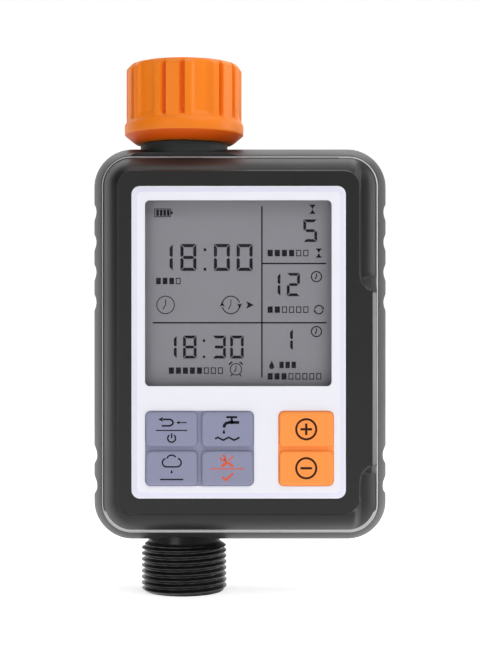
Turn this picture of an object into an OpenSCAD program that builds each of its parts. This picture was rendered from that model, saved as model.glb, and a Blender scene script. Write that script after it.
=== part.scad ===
// Drip irrigation timer: a battery-driven ball valve in a plastic casing that hangs from a tap.
// The origin is the centre of the inlet nut's mouth. +Z points up along the inlet and -Y is the front.

/* [Casing] */
// Width of the casing at its widest
body_w = 90; // [88:1:94]
// Height of the casing at its tallest
body_h = 120; // [118:1:126]
// Corner radius of the casing
body_r = 12; // [10:1:14]
// Distance from the pipe axis to the casing's centre line
case_offset = 17.4; // [17:0.1:18]
// Distance from the pipe axis to the front plateau
front_depth = 25; // [25:0.5:26]
// Distance from the pipe axis to the flat back
rear_depth = 21; // [21:0.5:23]
// Wall thickness of both covers
wall = 2.2; // [2:0.1:2.4]
// Width of the front cover at its ridge line
ridge_w = 83; // [82:0.5:84]
// Height of the front cover at its ridge line
ridge_h = 113; // [112:0.5:114]

/* [Front] */
// Width of the white faceplate
plate_w = 63.2; // [62:0.1:64]
// Height of the white faceplate
plate_h = 92.1; // [91:0.1:93]
// How far the faceplate stands out of the plateau
plate_proud = 0.8; // [0.5:0.1:1]
// Width of the display window
window_w = 55; // [52:0.5:56]
// Height of the display window
window_h = 54.8; // [52:0.1:56]
// Travel of every key
key_travel = 0.8; // [0.5:0.1:0.8]
// Gap between a key and the hole that it moves in
key_gap = 0.35; // [0.3:0.05:0.4]

/* [Pipe] */
// Height of the inlet nut
nut_h = 24.3; // [24:0.1:26]
// Radius of the inlet nut's grip
nut_r = 17.9; // [17.5:0.1:18.5]
// Crest radius of the female inlet thread
inlet_crest_r = 12.06; // [12:0.01:12.1]
// Crest radius of the male outlet thread
outlet_crest_r = 13.22; // [13:0.01:13.3]
// Pitch of both threads
thread_pitch = 1.814; // [1.7:0.001:1.9]
// Lowest point of the outlet below the nut's mouth
total_h = 163; // [161:0.5:165]
// Radius of the valve ball
ball_r = 9.5; // [9.2:0.1:9.6]
// Height of the valve ball's centre below the nut's mouth
ball_depth = 66.5; // [66:0.5:67]

/* [Gear train] */
// Module of every gear
gear_module = 0.6; // [0.59:0.005:0.6]
// Backlash of each pair of gears, along the pitch line
backlash = 0.13; // [0.1:0.01:0.16]

/* [Hidden] */
$fn = 64;
hull_fn = 32;

// Casing
collar_gap = 2.1;
case_x = case_offset;
case_top = -nut_h - collar_gap;
case_z = case_top - body_h / 2;
case_bottom = case_top - body_h;
plateau_y = -front_depth;
split_y = -14;
skin = 0.1;
flare = 3;
seal_w = 1.2;
tongue_h = 5.6;
post_inset = 11.5;
post_dx = body_w / 2 - post_inset;
post_dz = body_h / 2 - post_inset;
post_r = 4.2;
boss_r = 3.6;
case_screw_r = 1.45;
case_screw_seat_y = -4;
case_screw_clear = 0.2;
case_screw_l = 14.5;
screw_well_r = 2.9;
screw_head_r = 2.7;
hex_r = 1.3;
rear_inner_y = rear_depth - wall;
floor_front_y = plateau_y + 1.4;
floor_back_y = plateau_y + 3;
ridge_r = body_r - 3;
ridge_rim = 1.6;
ridge_chamfer = 0.8;
shoulder_w = 5.8;
plateau_x = case_x - 0.4;
plateau_z = case_z + 0.7;
// Steps of the rear cover's outside and inside: [inset from the widest outline, radius, y from, y to]
rear_steps = [[flare, body_r - 2.5, split_y, split_y + 1], [1.2, body_r - 1, split_y + 3, split_y + 4],
    [0, body_r, split_y + 9, 14], [1, body_r - 1, 14, rear_depth - 4],
    [3, body_r - 3, rear_depth - 1, rear_depth]];
rear_hollows = [[wall + 3.7, body_r - 5, split_y - skin, split_y + 5],
    [wall + 0.5, body_r - 2.5, split_y + 4.9, 14], [wall + 2.3, body_r - 4, 13.9, rear_inner_y]];
// Steps of the front cover's inside: [inset from the ridge outline, radius, y from, y to]
front_hollows = [[wall, ridge_r - 2.2, split_y - 2, split_y + skin],
    [wall + 2.3, ridge_r - 4, split_y - 5.5, split_y - 1.9],
    [wall + 4.3, ridge_r - 5, floor_back_y, split_y - 5.4]];
// Steps of the side pad: [reach to the right, y from, y to, top z, bottom z]
pad_inner = 22;
pad_steps = [[37.8, plateau_y, plateau_y + 0.2, -72.2, -120.4],
    [39.2, plateau_y + 1.2, plateau_y + 1.4, -70.8, -121.8], [41, split_y - 2.2, split_y - 1, -67.5, -125]];
seal_inset = 0.9;
seal_r = ridge_r - 1;
pipe_slot_h = 6;
// Grip notches on each side: [z, radius, distance of the centre beyond the widest outline]
notch_step = 9.2;
notches = concat([for (i = [0 : 3]) [-46 - notch_step * i, 3.4, 2.3]],
    [for (z = [-120.2, -129.5]) [z, 3.5, 2.1]]);

// Front
plate_x = case_x - 0.4;
plate_z = case_z + 0.75;
plate_r = 2.5;
plate_bevel = 0.9;
plate_bevel_w = 1.2;
plate_gap = 0.1;
plate_y = plateau_y - plate_proud;
window_x = plate_x - 0.1;
window_z = plate_z + 14.45;
window_r = 1.3;
window_gap = 0.7;
lens_lip = 1.5;
lens_r = 2;
lens_gap = 0.1;
lens_t = 1.2;
lcd_w = 58;
lcd_h = 57.6;
lcd_t = 2;
lcd_y = floor_back_y + 0.1;
lcd_r = 0.5;
lcd_gap = 0.1;
frame_t = 1.4;
zebra_h = 2.2;
zebra_inset = 1.6;
board_w = 71;
board_h = 91;
board_y = floor_back_y + 5;
board_t = 1.6;
board_back_y = board_y + board_t;
board_screw_r = 0.9;
board_screw_head = [1.7, 1.1];
board_hole_r = 1.1;
board_post_r = 1.9;
// Blocks on the back of the board, as [x from, x to, height, z top, z bottom], then the round sounder
board_blocks = [[18, 28, 1.5, -98, -108], [32, 36, 1.8, -100, -109], [38, 44, 3, -84, -89],
    [26, 32, 3, -84, -89]];
sounder_at = [37, -123];
sounder_r = 4.5;
sounder_h = 3.5;
board_posts = [[plate_x - 32.9, -60], [plate_x + 32.9, -60],
    [plate_x - 30.9, -117], [plate_x + 8.1, -117], [plate_x + 31.2, -117]];

// Keys: each entry is the centre [x, z] and size [width, height] of a key
key_h = 10.05;
key_row_gap = 1.4;
key_top_z = -106.15;
key_row_z = [key_top_z - key_h / 2, key_top_z - key_h * 1.5 - key_row_gap];
small_key_w = 15.05;
small_key_gap = 1.3;
small_left_x = -10.2;
small_key_x = [small_left_x + small_key_w / 2, small_left_x + small_key_w * 1.5 + small_key_gap];
big_key_w = 15.7;
big_key_x = 36.85;
KEYS = [[small_key_x[0], key_row_z[0], small_key_w], [small_key_x[1], key_row_z[0], small_key_w],
    [small_key_x[0], key_row_z[1], small_key_w], [small_key_x[1], key_row_z[1], small_key_w],
    [big_key_x, key_row_z[0], big_key_w], [big_key_x, key_row_z[1], big_key_w]];
key_r = 1.3;
key_y = plate_y - 1;
key_round = 0.6;
key_back_y = floor_back_y + 0.5;
cluster_h = 2 * key_h + key_row_gap;
cluster_z = key_top_z - cluster_h / 2;
small_cluster_w = 2 * small_key_w + small_key_gap;
small_cluster_x = small_left_x + small_cluster_w / 2;
mat_margin = 1.7;
mat_t = 0.8;
web_y = plate_y + 1.2;
switch_w = 6.2;
switch_h = 3;
plunger_r = 1.7;
plunger_l = 2.2;
plunger_y = board_y - switch_h - key_travel;
plunger_gap = 0.08;
key_stem_r = 1.5;

// Threads
thread_depth = outlet_crest_r - inlet_crest_r;
thread_flank = thread_depth * tan(27.5);
thread_land = (thread_pitch - 2 * thread_flank) / 2;
inlet_crests = 7;
outlet_crests = 8;
inlet_thread_l = (inlet_crests - 1) * thread_pitch + thread_land;
outlet_thread_l = (outlet_crests - 1) * thread_pitch + thread_land;

// Nut and inlet
nut_ring_r = nut_r + 0.6;
nut_ring_top = -nut_h + 6;
nut_ring_bottom = -nut_h + 2.7;
nut_foot_r = 14.9;
nut_lip_top = -nut_h + 5.3;
nut_relief_r = 13.3;
nut_chamfer = 1.2;
nut_bore_gap = 0.08;
grip_turn = 60;
grip_cut_depth = 0.7;
// Grip cuts in each sixth of the nut, as [angle from the front, width]
grip_cuts = [[-18.7, 1.7], [0, 1.7], [20.6, 6.6]];
spigot_r = 10.3;
spigot_bore_r = 8;
spigot_top = -15;
flange_r = 11.7;
ring_z = -17;
ring_h = 1.5;
ring_r = 12.7;
groove_r = 9.4;
washer_top = -12.6;
collar_r = 13.5;
collar_top = -nut_h - 0.3;
collar_land_w = 34;
collar_land_drop = 1.9;
collar_h = 4.8;

// Valve
ball_z = -ball_depth;
ball_bore_r = 5.5;
housing_r = 12.6;
cavity_r = 10;
seat_near = 4.5;
seat_far = 9.2;
tube_r = 11;
neck_r = 11.1;
valve_end_z = ball_z - 22;
outlet_flange_h = 3.5;
outlet_plug_r = cavity_r - 0.05;
stem_r = 3;
stem_flat_r = 2.4;
stem_boss_r = 6.5;
running = 0.05;
lug_z = [-55, -79];
lug_x = -18;
lug_r = 4;
lug_t = 3;
lug_post_r = 2.6;
lug_screw_r = 1.2;
lug_screw_end = 11;
lug_head = [2.4, 1.8];
o_ring_groove_r = 8.9;
o_ring_h = 2;
o_ring_drop = 5;
stem_ring_x = [11.2, 13.4];
stem_ring_t = 1.4;
stem_groove_r = 2.2;
ball_slot_x = 7.3;

// Gearbox: the gears lie in planes across X, and each axis is given as [y, z]
box_x = 15.6;
plate_t = 1.2;
layer_x = [box_x + 1.8, box_x + 5.9, box_x + 8.9];
layer_t = [3.6, 2.5, 2.5];
cover_x = box_x + 12.6;
pinion_teeth = 10;
wheel_teeth = 30;
output_teeth = 40;
pressure = 25;
addendum = 0.8;
dedendum = 1;
pair_big = (output_teeth + pinion_teeth) * gear_module / 2;
pair_small = (wheel_teeth + pinion_teeth) * gear_module / 2;
second_dir = 66.4;
first_dir = 140;
motor_dir = 10.5;
output_axis = [0, ball_z];
second_axis = output_axis + pair_big * [cos(second_dir), sin(second_dir)];
first_axis = second_axis + pair_small * [cos(first_dir), sin(first_dir)];
motor_axis = first_axis + pair_small * [cos(motor_dir), sin(motor_dir)];
shaft_r = 1;
shaft_gap = 0.06;
motor_shaft_r = 0.5;
motor_r = 6;
motor_flat = 10;
motor_l = 15;
terminal_l = 1.5;
terminal_dy = 3;
terminal_w = 1.2;
terminal_t = 0.5;
lead_r = 0.5;
box_y = [-14.5, 17.4];
box_z = [-33.6, -81];
box_corner = 3;
corner_posts = [[-12, -36.1], [14.9, -36.1], [14.9, -78.5], [-12, -78.5]];
box_post_r = 2;
box_screw_r = 0.9;
box_screw_head = [1.7, 1.2];
motor_boss_r = 2;
stem_tip_r = 1.4;
gear_hub_r = 1.8;
output_hub_r = 3.6;
stem_flat_y = 1.7;
pinion_reach = 0.6;
cam_t = 2.4;
cam_r = 4.2;
cam_lobe_r = 6.5;
limit_gap = 0.3;

// Batteries
cell_r = 7.1;
cell_l = 50.5;
cell_y = 9.6;
cells_x = [22.95, 37.65];
cell_box_x = [14.4, 46.2];
cell_box_z = [-82.4, -140.4];
cell_box_wall = 1.2;
contact_t = 0.4;
spring_l = 4.3;
spring_wire = 0.4;
spring_r = [4.4, 2.8];
spring_turns = 3;
button_h = 1;
button_r = 2.7;
plate_half = 5;
cell_top_z = cell_box_z[0] - cell_box_wall - contact_t;
cell_low_z = cell_box_z[1] + cell_box_wall + contact_t;
hatch_x = 30.3;
hatch_z = -111.4;
hatch_w = 35.4;
hatch_h = 60.4;
hatch_plug_w = 28.4;
hatch_plug_h = 54.6;
hatch_gap = 0.3;
hatch_floor_y = rear_depth - 1.2;
hatch_r = 2.7;
hatch_plug_r = 1.7;
hatch_seal_w = 0.8;
hatch_seal_y = [rear_inner_y - 0.4, rear_inner_y + 0.6];
hatch_grip_w = 16;
hatch_grip_step = 2.2;

// Shared shapes

module rounded_rect(w, h, r) {
    for (sx = [-1, 1], sy = [-1, 1]) translate([sx * (w / 2 - r), sy * (h / 2 - r)]) circle(r);
    square([w - 2 * r, h], center = true);
    square([w, h - 2 * r], center = true);
}

// An upright rounded slab centred at x and z that runs from y0 back to y1
module slab(x, z, w, h, r, y0, y1) {
    translate([x, y1, z]) rotate([90, 0, 0]) linear_extrude(y1 - y0) rounded_rect(w, h, r);
}

module case_slab(w, h, r, y0, y1) {
    slab(case_x, case_z, w, h, r, y0, y1);
}

// A cylinder along Y from y0 back to y1
module rod_y(x, z, r, y0, y1) {
    translate([x, y1, z]) rotate([90, 0, 0]) cylinder(r = r, h = y1 - y0);
}

// Children drawn in the plane across X, with local x along Y and local y along Z
module across_x(x, axis) {
    translate([x, axis[0], axis[1]]) rotate([90, 0, 90]) children();
}

module rod_x(x0, x1, axis, r) {
    across_x(x0, axis) cylinder(r = r, h = x1 - x0);
}

module block(x, y, z) {
    translate([x[0], y[0], min(z[0], z[1])]) cube([x[1] - x[0], y[1] - y[0], abs(z[1] - z[0])]);
}

function unit(v) = v / norm(v);

function path_dir(path, i) =
    unit(path[min(i + 1, len(path) - 1)] - path[max(i - 1, 0)]);

function ring_points(centre, dir, ref, r, sides) =
    let (u = unit(cross(ref, dir)), v = cross(dir, u))
    [for (k = [0 : sides - 1]) let (a = 360 * k / sides) centre + r * (cos(a) * u + sin(a) * v)];

// A round wire along a path; ref is a direction that the path never follows
module wire(path, r, sides, ref) {
    last = len(path) - 1;
    points = [for (i = [0 : last]) each ring_points(path[i], path_dir(path, i), ref, r, sides)];
    walls = [for (i = [0 : last - 1], k = [0 : sides - 1]) let (n = (k + 1) % sides)
        [i * sides + k, (i + 1) * sides + k, (i + 1) * sides + n, i * sides + n]];
    start_cap = [for (k = [0 : sides - 1]) k];
    end_cap = [for (k = [sides - 1 : -1 : 0]) last * sides + k];
    polyhedron(points, concat([start_cap], walls, [end_cap]));
}

function bezier(a, b, c, d, steps) =
    [for (i = [0 : steps]) let (t = i / steps, s = 1 - t)
        s * s * s * a + 3 * s * s * t * b + 3 * s * t * t * c + t * t * t * d];

// Profile points of a ringed thread that runs down from z, as [radius, z]
function thread_profile(crest_r, root_r, z, crests) =
    [for (i = [0 : crests - 1]) let (top = z - i * thread_pitch)
        each i < crests - 1
            ? [[crest_r, top], [crest_r, top - thread_land],
                [root_r, top - thread_land - thread_flank],
                [root_r, top - 2 * thread_land - thread_flank]]
            : [[crest_r, top], [crest_r, top - thread_land]]];

// Involute gears

function involute_angle(r, base_r) =
    r <= base_r ? 0 : let (t = sqrt(pow(r / base_r, 2) - 1)) t * 180 / PI - atan(t);

function tooth_half_angle(r, teeth) =
    let (pitch_r = teeth * gear_module / 2, base_r = pitch_r * cos(pressure))
    90 / teeth - backlash / 4 / pitch_r * 180 / PI
        + involute_angle(pitch_r, base_r) - involute_angle(r, base_r);

function tooth_radii(teeth) =
    let (pitch_r = teeth * gear_module / 2, base_r = pitch_r * cos(pressure),
        root_r = pitch_r - dedendum * gear_module, tip_r = pitch_r + addendum * gear_module,
        start_r = max(base_r, root_r + 0.05), steps = 4)
    concat([root_r], [for (i = [0 : steps]) start_r + (tip_r - start_r) * i / steps]);

function polar(r, a) = [r * cos(a), r * sin(a)];

module gear_outline(teeth, phase) {
    radii = tooth_radii(teeth);
    count = len(radii);
    polygon([for (i = [0 : teeth - 1]) let (a = phase + 360 * i / teeth)
        each concat([for (k = [0 : count - 1]) polar(radii[k], a - tooth_half_angle(radii[k], teeth))],
            [for (k = [count - 1 : -1 : 0]) polar(radii[k], a + tooth_half_angle(radii[k], teeth))])]);
}

// Phase of a gear that meshes with one of known phase across the direction dir
function mesh_phase(teeth_a, phase_a, teeth_b, dir) =
    dir + 180 - 360 / teeth_b * (0.5 - (dir - phase_a) * teeth_a / 360);

// Casing

module front_outer() {
    hull() {
        case_slab(ridge_w, ridge_h, ridge_r, split_y - ridge_rim, split_y, $fn = hull_fn);
        case_slab(ridge_w - 2 * ridge_chamfer, ridge_h - 2 * ridge_chamfer, ridge_r - ridge_chamfer,
            split_y - ridge_rim - ridge_chamfer, split_y, $fn = hull_fn);
        slab(plateau_x, plateau_z, ridge_w - 2 * shoulder_w, ridge_h - 2 * shoulder_w, body_r - 6, plateau_y,
            plateau_y + 1, $fn = hull_fn);
    }
}

// Raised pad down the lower right of the front cover
module side_pad() {
    hull() for (s = pad_steps)
        block([case_x + pad_inner, case_x + s[0]], [s[1], s[2]], [s[3], s[4]]);
}

module case_step(w, h, s) {
    case_slab(w - 2 * s[0], h - 2 * s[0], s[1], s[2], s[3]);
}

module rear_outer() {
    hull() for (s = rear_steps) case_step(body_w, body_h, s, $fn = hull_fn);
}

module rear_inner() {
    for (s = rear_hollows) case_step(body_w, body_h, s);
}

// Slots that let the collar and the neck pass, open to the front
module pipe_slots() {
    block([-collar_r, collar_r], [split_y - skin, 0], [case_top + 1, case_top - pipe_slot_h]);
    block([-neck_r, neck_r], [split_y - skin, 0], [case_bottom - 1, case_bottom + pipe_slot_h]);
}

// The rear cover's outside, with the raised rim that stands in front of the collar
module rear_body() {
    rear_outer();
    block([-collar_land_w / 2, collar_land_w / 2], [split_y, -4],
        [case_top - collar_land_drop, case_top - tongue_h]);
}

module pipe_holes() {
    translate([0, 0, case_top - 8]) cylinder(r = collar_r + running, h = 10);
    translate([0, 0, case_bottom - 1]) cylinder(r = neck_r + running, h = 10);
}

module seal_ring(w) {
    difference() {
        case_step(ridge_w, ridge_h, [seal_inset - w / 2, seal_r + w / 2, split_y, split_y + seal_w]);
        case_step(ridge_w, ridge_h,
            [seal_inset + w / 2, seal_r - w / 2, split_y - skin, split_y + seal_w + skin]);
    }
}

module at_case_posts() {
    for (sx = [-1, 1], sz = [-1, 1]) translate([case_x + sx * post_dx, 0, case_z + sz * post_dz]) children();
}

module key_holes(y0, y1) {
    slab(small_cluster_x, cluster_z, small_cluster_w + 2 * key_gap, cluster_h + 2 * key_gap,
        key_r + key_gap, y0, y1);
    slab(big_key_x, cluster_z, big_key_w + 2 * key_gap, cluster_h + 2 * key_gap,
        key_r + key_gap, y0, y1);
}

module front_cover() {
    color("#33343a") {
        difference() {
            union() {
                front_outer();
                side_pad();
            }
            for (s = front_hollows) case_step(ridge_w, ridge_h, s);
            slab(plate_x, plate_z, plate_w + 2 * plate_gap, plate_h + 2 * plate_gap, plate_r + plate_gap,
                plateau_y - skin, floor_front_y);
            slab(window_x, window_z, window_w + 2 * window_gap, window_h + 2 * window_gap,
                window_r + window_gap, plateau_y, floor_back_y + skin);
            key_holes(plateau_y, floor_back_y + skin);
        }
        difference() {
            at_case_posts() rod_y(0, 0, boss_r, split_y - 6, split_y);
            at_case_posts() rod_y(0, 0, case_screw_r, split_y - 5, split_y + skin);
        }
        difference() {
            for (p = board_posts) rod_y(p[0], p[1], board_post_r, floor_back_y, board_y);
            for (p = board_posts) rod_y(p[0], p[1], board_screw_r, floor_back_y + 1, board_y + skin);
        }
        difference() {
            intersection() {
                rear_body();
                pipe_slots();
            }
            block([-collar_land_w / 2, collar_land_w / 2], [split_y - 1, 1],
                [case_top - tongue_h, case_bottom + tongue_h]);
            pipe_holes();
            seal_ring(seal_w);
        }
    }
}

// Grip notches across both edges of the rear cover: four shallow ones and two deep ones a side
module grip_notches() {
    for (side = [-1, 1], n = notches)
        rod_y(case_x + side * (body_w / 2 + n[2]), n[0], n[1], split_y - 1, rear_depth + 1);
}

module rear_cover() {
    color("#2e2f34") difference() {
        union() {
            difference() {
                rear_body();
                grip_notches();
                rear_inner();
            }
            at_case_posts() rod_y(0, 0, post_r, split_y, rear_inner_y + skin);
            for (z = lug_z) rod_y(lug_x, z, lug_post_r, lug_t / 2, rear_inner_y + skin);
        }
        seal_ring(seal_w);
        pipe_slots();
        pipe_holes();
        at_case_posts() {
            rod_y(0, 0, case_screw_r + case_screw_clear, split_y - 1, rear_depth + 1);
            rod_y(0, 0, screw_well_r, case_screw_seat_y, rear_depth + 1);
        }
        for (z = lug_z) rod_y(lug_x, z, lug_screw_r, lug_t / 2 - skin, lug_screw_end + 1);
        slab(hatch_x, hatch_z, hatch_w + 2 * hatch_gap, hatch_h + 2 * hatch_gap, hatch_r + hatch_gap,
            hatch_floor_y, rear_depth + 1);
        slab(hatch_x, hatch_z, hatch_plug_w + 2 * hatch_gap, hatch_plug_h + 2 * hatch_gap,
            hatch_plug_r + hatch_gap, rear_inner_y - 1, rear_depth);
    }
}

module case_seal() {
    color("#1a1a1a") seal_ring(seal_w);
}

module case_screws() {
    color("silver") at_case_posts() {
        difference() {
            rod_y(0, 0, screw_head_r, case_screw_seat_y, case_screw_seat_y + 2);
            rod_y(0, 0, hex_r, case_screw_seat_y + 1, case_screw_seat_y + 3, $fn = 6);
        }
        rod_y(0, 0, case_screw_r, case_screw_seat_y - case_screw_l, case_screw_seat_y);
    }
}

// Front

module faceplate() {
    color("#f1f1f8") difference() {
        hull() {
            slab(plate_x, plate_z, plate_w, plate_h, plate_r, plate_y + plate_bevel, floor_front_y,
                $fn = hull_fn);
            slab(plate_x, plate_z, plate_w - 2 * plate_bevel_w, plate_h - 2 * plate_bevel_w,
                plate_r - plate_bevel_w, plate_y, floor_front_y, $fn = hull_fn);
        }
        slab(window_x, window_z, window_w, window_h, window_r, plate_y - 1, floor_front_y + skin);
        slab(window_x, window_z, window_w + 2 * lens_lip, window_h + 2 * lens_lip, lens_r,
            floor_front_y - lens_t, floor_front_y + skin);
        key_holes(plate_y - 1, floor_front_y + skin);
    }
}

module display_lens() {
    color("#c8d2dc", 0.3) slab(window_x, window_z, window_w + 2 * (lens_lip - lens_gap),
        window_h + 2 * (lens_lip - lens_gap), lens_r, floor_front_y - lens_t, floor_front_y);
}

module lcd_panel() {
    color("#828187") slab(window_x, window_z, lcd_w, lcd_h, lcd_r, lcd_y, lcd_y + lcd_t);
}

module lcd_frame() {
    color("white") difference() {
        slab(window_x, window_z, lcd_w + 2 * frame_t + lcd_gap, lcd_h + 2 * frame_t + lcd_gap, 2 * lcd_r,
            lcd_y, board_y);
        slab(window_x, window_z, lcd_w + lcd_gap, lcd_h + lcd_gap, lcd_r, lcd_y - skin, board_y + skin);
    }
}

module zebra_strips() {
    color("#3c3c3c") for (side = [-1, 1])
        slab(window_x, window_z + side * (lcd_h / 2 - zebra_inset), lcd_w - 4, zebra_h, 0.4,
            lcd_y + lcd_t, board_y);
}

module main_board() {
    color("#1f6a3c") difference() {
        slab(case_x, case_z, board_w, board_h, 2, board_y, board_back_y);
        at_case_posts() rod_y(0, 0, post_r + 0.4, board_y - 1, board_back_y + 1);
        for (p = board_posts) rod_y(p[0], p[1], board_hole_r, board_y - 1, board_back_y + 1);
    }
}

// Chip, crystal, sounder and the two lead sockets, on the back of the board
module board_components() {
    color("#202020") {
        for (b = board_blocks) block([b[0], b[1]], [board_back_y, board_back_y + b[2]], [b[3], b[4]]);
        rod_y(sounder_at[0], sounder_at[1], sounder_r, board_back_y, board_back_y + sounder_h);
    }
}

module board_screws() {
    color("silver") for (p = board_posts) {
        rod_y(p[0], p[1], board_screw_r, floor_back_y + 1.5, board_back_y);
        rod_y(p[0], p[1], board_screw_head[0], board_back_y, board_back_y + board_screw_head[1]);
    }
}

module tact_switches() {
    color("#2b2b2b") for (k = KEYS) difference() {
        slab(k[0], k[1], switch_w, switch_w, 0.5, board_y - switch_h, board_y);
        rod_y(k[0], k[1], plunger_r + plunger_gap, board_y - switch_h - skin, board_y - 0.4);
    }
}

// A silicone sheet behind the cover's floor, with thin webs that stand up between the keys
module keypad_mat(x, w, keys) {
    difference() {
        union() {
            slab(x, cluster_z, w + 2 * mat_margin, cluster_h + 2 * mat_margin, 2,
                floor_back_y, floor_back_y + mat_t);
            slab(x, cluster_z, w, cluster_h, key_r, web_y, floor_back_y + skin);
        }
        for (i = keys) slab(KEYS[i][0], KEYS[i][1], KEYS[i][2] + 2 * key_gap, key_h + 2 * key_gap,
            key_r + key_gap, web_y - 1, floor_back_y + 2);
    }
}

module keypad_mat_left() {
    color("#9696b4") keypad_mat(small_cluster_x, small_cluster_w, [0, 1, 2, 3]);
}

module keypad_mat_right() {
    color("#e6782d") keypad_mat(big_key_x, big_key_w, [4, 5]);
}

module key(k) {
    hull() {
        slab(k[0], k[1], k[2], key_h, key_r, key_y + key_round, key_back_y, $fn = hull_fn);
        slab(k[0], k[1], k[2] - 2 * key_round, key_h - 2 * key_round, key_r - 0.5, key_y,
            key_back_y, $fn = hull_fn);
    }
    rod_y(k[0], k[1], key_stem_r, key_back_y - skin, plunger_y);
}

module key_back() { color("#9696b4") key(KEYS[0]); }
module key_tap() { color("#9696b4") key(KEYS[1]); }
module key_rain() { color("#9696b4") key(KEYS[2]); }
module key_tool() { color("#9696b4") key(KEYS[3]); }
module key_plus() { color("#f99a48") key(KEYS[4]); }
module key_minus() { color("#f99a48") key(KEYS[5]); }

module plunger(k) {
    color("#d8c070") rod_y(k[0], k[1], plunger_r, plunger_y, plunger_y + plunger_l);
}

module plunger_back() { plunger(KEYS[0]); }
module plunger_tap() { plunger(KEYS[1]); }
module plunger_rain() { plunger(KEYS[2]); }
module plunger_tool() { plunger(KEYS[3]); }
module plunger_plus() { plunger(KEYS[4]); }
module plunger_minus() { plunger(KEYS[5]); }

// Inlet

// Six repeats of two narrow grooves and one broad shallow recess
module nut_grip_cuts() {
    cut_low = nut_ring_top + 1;
    for (turn = [0 : grip_turn : 360 - grip_turn], cut = grip_cuts) rotate([0, 0, turn + cut[0]])
        translate([-cut[1] / 2, -nut_r - 1, cut_low]) cube([cut[1], 1 + grip_cut_depth, 1 - cut_low]);
}

module inlet_nut() {
    color("#f07828") difference() {
        rotate_extrude() polygon(concat(
            thread_profile(inlet_crest_r, outlet_crest_r, 0, inlet_crests),
            [[nut_relief_r, -inlet_thread_l - 0.8], [nut_relief_r, nut_lip_top],
                [spigot_r + nut_bore_gap, nut_lip_top], [spigot_r + nut_bore_gap, -nut_h],
                [nut_foot_r, -nut_h], [nut_ring_r, nut_ring_bottom], [nut_ring_r, nut_ring_top],
                [nut_r, nut_ring_top + 0.4], [nut_r, -nut_chamfer], [nut_r - nut_chamfer, 0]]));
        nut_grip_cuts();
    }
}

// Split ring that sits in the spigot's groove and holds the nut on
module nut_retaining_ring() {
    color("#d8d8d8") difference() {
        translate([0, 0, ring_z - ring_h]) cylinder(r = ring_r, h = ring_h);
        translate([0, 0, ring_z - ring_h - 1]) cylinder(r = groove_r, h = ring_h + 2);
        block([5, 15], [-1, 1], [ring_z + 1, ring_z - ring_h - 1]);
    }
}

module inlet_washer() {
    color("#1c1c1c") difference() {
        translate([0, 0, spigot_top]) cylinder(r = flange_r, h = washer_top - spigot_top);
        translate([0, 0, spigot_top - 1]) cylinder(r = spigot_bore_r, h = 10);
    }
}

module inlet_filter() {
    color("#c0c0c0") rotate_extrude() polygon([[0, -26], [5.8, -26], [7.4, -15], [spigot_bore_r, -14.5],
        [spigot_bore_r, -13], [6.9, -13], [5.3, -25.4], [0, -25.4]]);
}

// Valve

module valve_body() {
    color("#26262a") difference() {
        union() {
            rotate_extrude() polygon([[spigot_bore_r, spigot_top], [flange_r, spigot_top],
                [flange_r, ring_z + running], [groove_r, ring_z + running],
                [groove_r, ring_z - ring_h - running], [spigot_r, ring_z - ring_h - running],
                [spigot_r, collar_top], [collar_r, collar_top], [collar_r, collar_top - collar_h],
                [tube_r, collar_top - collar_h], [tube_r, ball_z + 13], [housing_r, ball_z + 11],
                [housing_r, valve_end_z], [cavity_r, valve_end_z],
                [cavity_r, ball_z + seat_far], [spigot_bore_r, ball_z + seat_far]]);
            rod_x(11, box_x, output_axis, stem_boss_r);
            for (z = lug_z) {
                block([lug_x, -11.5], [-lug_t / 2, lug_t / 2], [z - lug_r, z + lug_r]);
                rod_y(lug_x, z, lug_r, -lug_t / 2, lug_t / 2);
            }
        }
        translate([0, 0, valve_end_z - 1]) cylinder(r = cavity_r, h = ball_z + seat_far - valve_end_z + 1);
        rod_x(5, box_x + 1, output_axis, stem_r + running);
        for (z = lug_z) rod_y(lug_x, z, lug_screw_r + 0.3, -lug_t, lug_t);
    }
}

module outlet_spigot() {
    plug_top = ball_z - seat_far;
    o_ring_z = plug_top - o_ring_drop;
    thread_top = -total_h + 1 + outlet_thread_l;
    root_r = outlet_crest_r - thread_depth;
    color("#1e1e20") rotate_extrude() polygon(concat(
        [[spigot_bore_r, plug_top], [outlet_plug_r, plug_top], [outlet_plug_r, o_ring_z],
            [o_ring_groove_r, o_ring_z], [o_ring_groove_r, o_ring_z - o_ring_h - 0.2],
            [outlet_plug_r, o_ring_z - o_ring_h - 0.2],
            [outlet_plug_r, valve_end_z], [housing_r, valve_end_z],
            [housing_r, valve_end_z - outlet_flange_h], [neck_r, valve_end_z - outlet_flange_h],
            [neck_r, thread_top + 0.8], [root_r, thread_top + thread_flank]],
        thread_profile(outlet_crest_r, root_r, thread_top, outlet_crests),
        [[root_r - 0.3, -total_h], [spigot_bore_r, -total_h]]));
}

module o_ring(z, inner_r, outer_r, h) {
    translate([0, 0, z - h]) difference() {
        cylinder(r = outer_r, h = h);
        translate([0, 0, -1]) cylinder(r = inner_r, h = h + 2);
    }
}

module outlet_o_ring() {
    color("#141414") o_ring(ball_z - seat_far - o_ring_drop - 0.1, o_ring_groove_r, cavity_r, o_ring_h);
}

module valve_ball() {
    color("#d8dade") difference() {
        translate([0, 0, ball_z]) sphere(r = ball_r);
        rod_y(0, ball_z, ball_bore_r, -ball_r - 1, ball_r + 1);
        block([ball_slot_x, ball_r + 1], [-3, 3], [ball_z - 1.25, ball_z + 1.25]);
    }
}

module seat(z0, z1) {
    color("#ececec") difference() {
        translate([0, 0, z0]) cylinder(r = cavity_r - running, h = z1 - z0);
        translate([0, 0, z0 - 1]) cylinder(r = ball_bore_r, h = z1 - z0 + 2);
        translate([0, 0, ball_z]) sphere(r = ball_r + running);
    }
}

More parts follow.
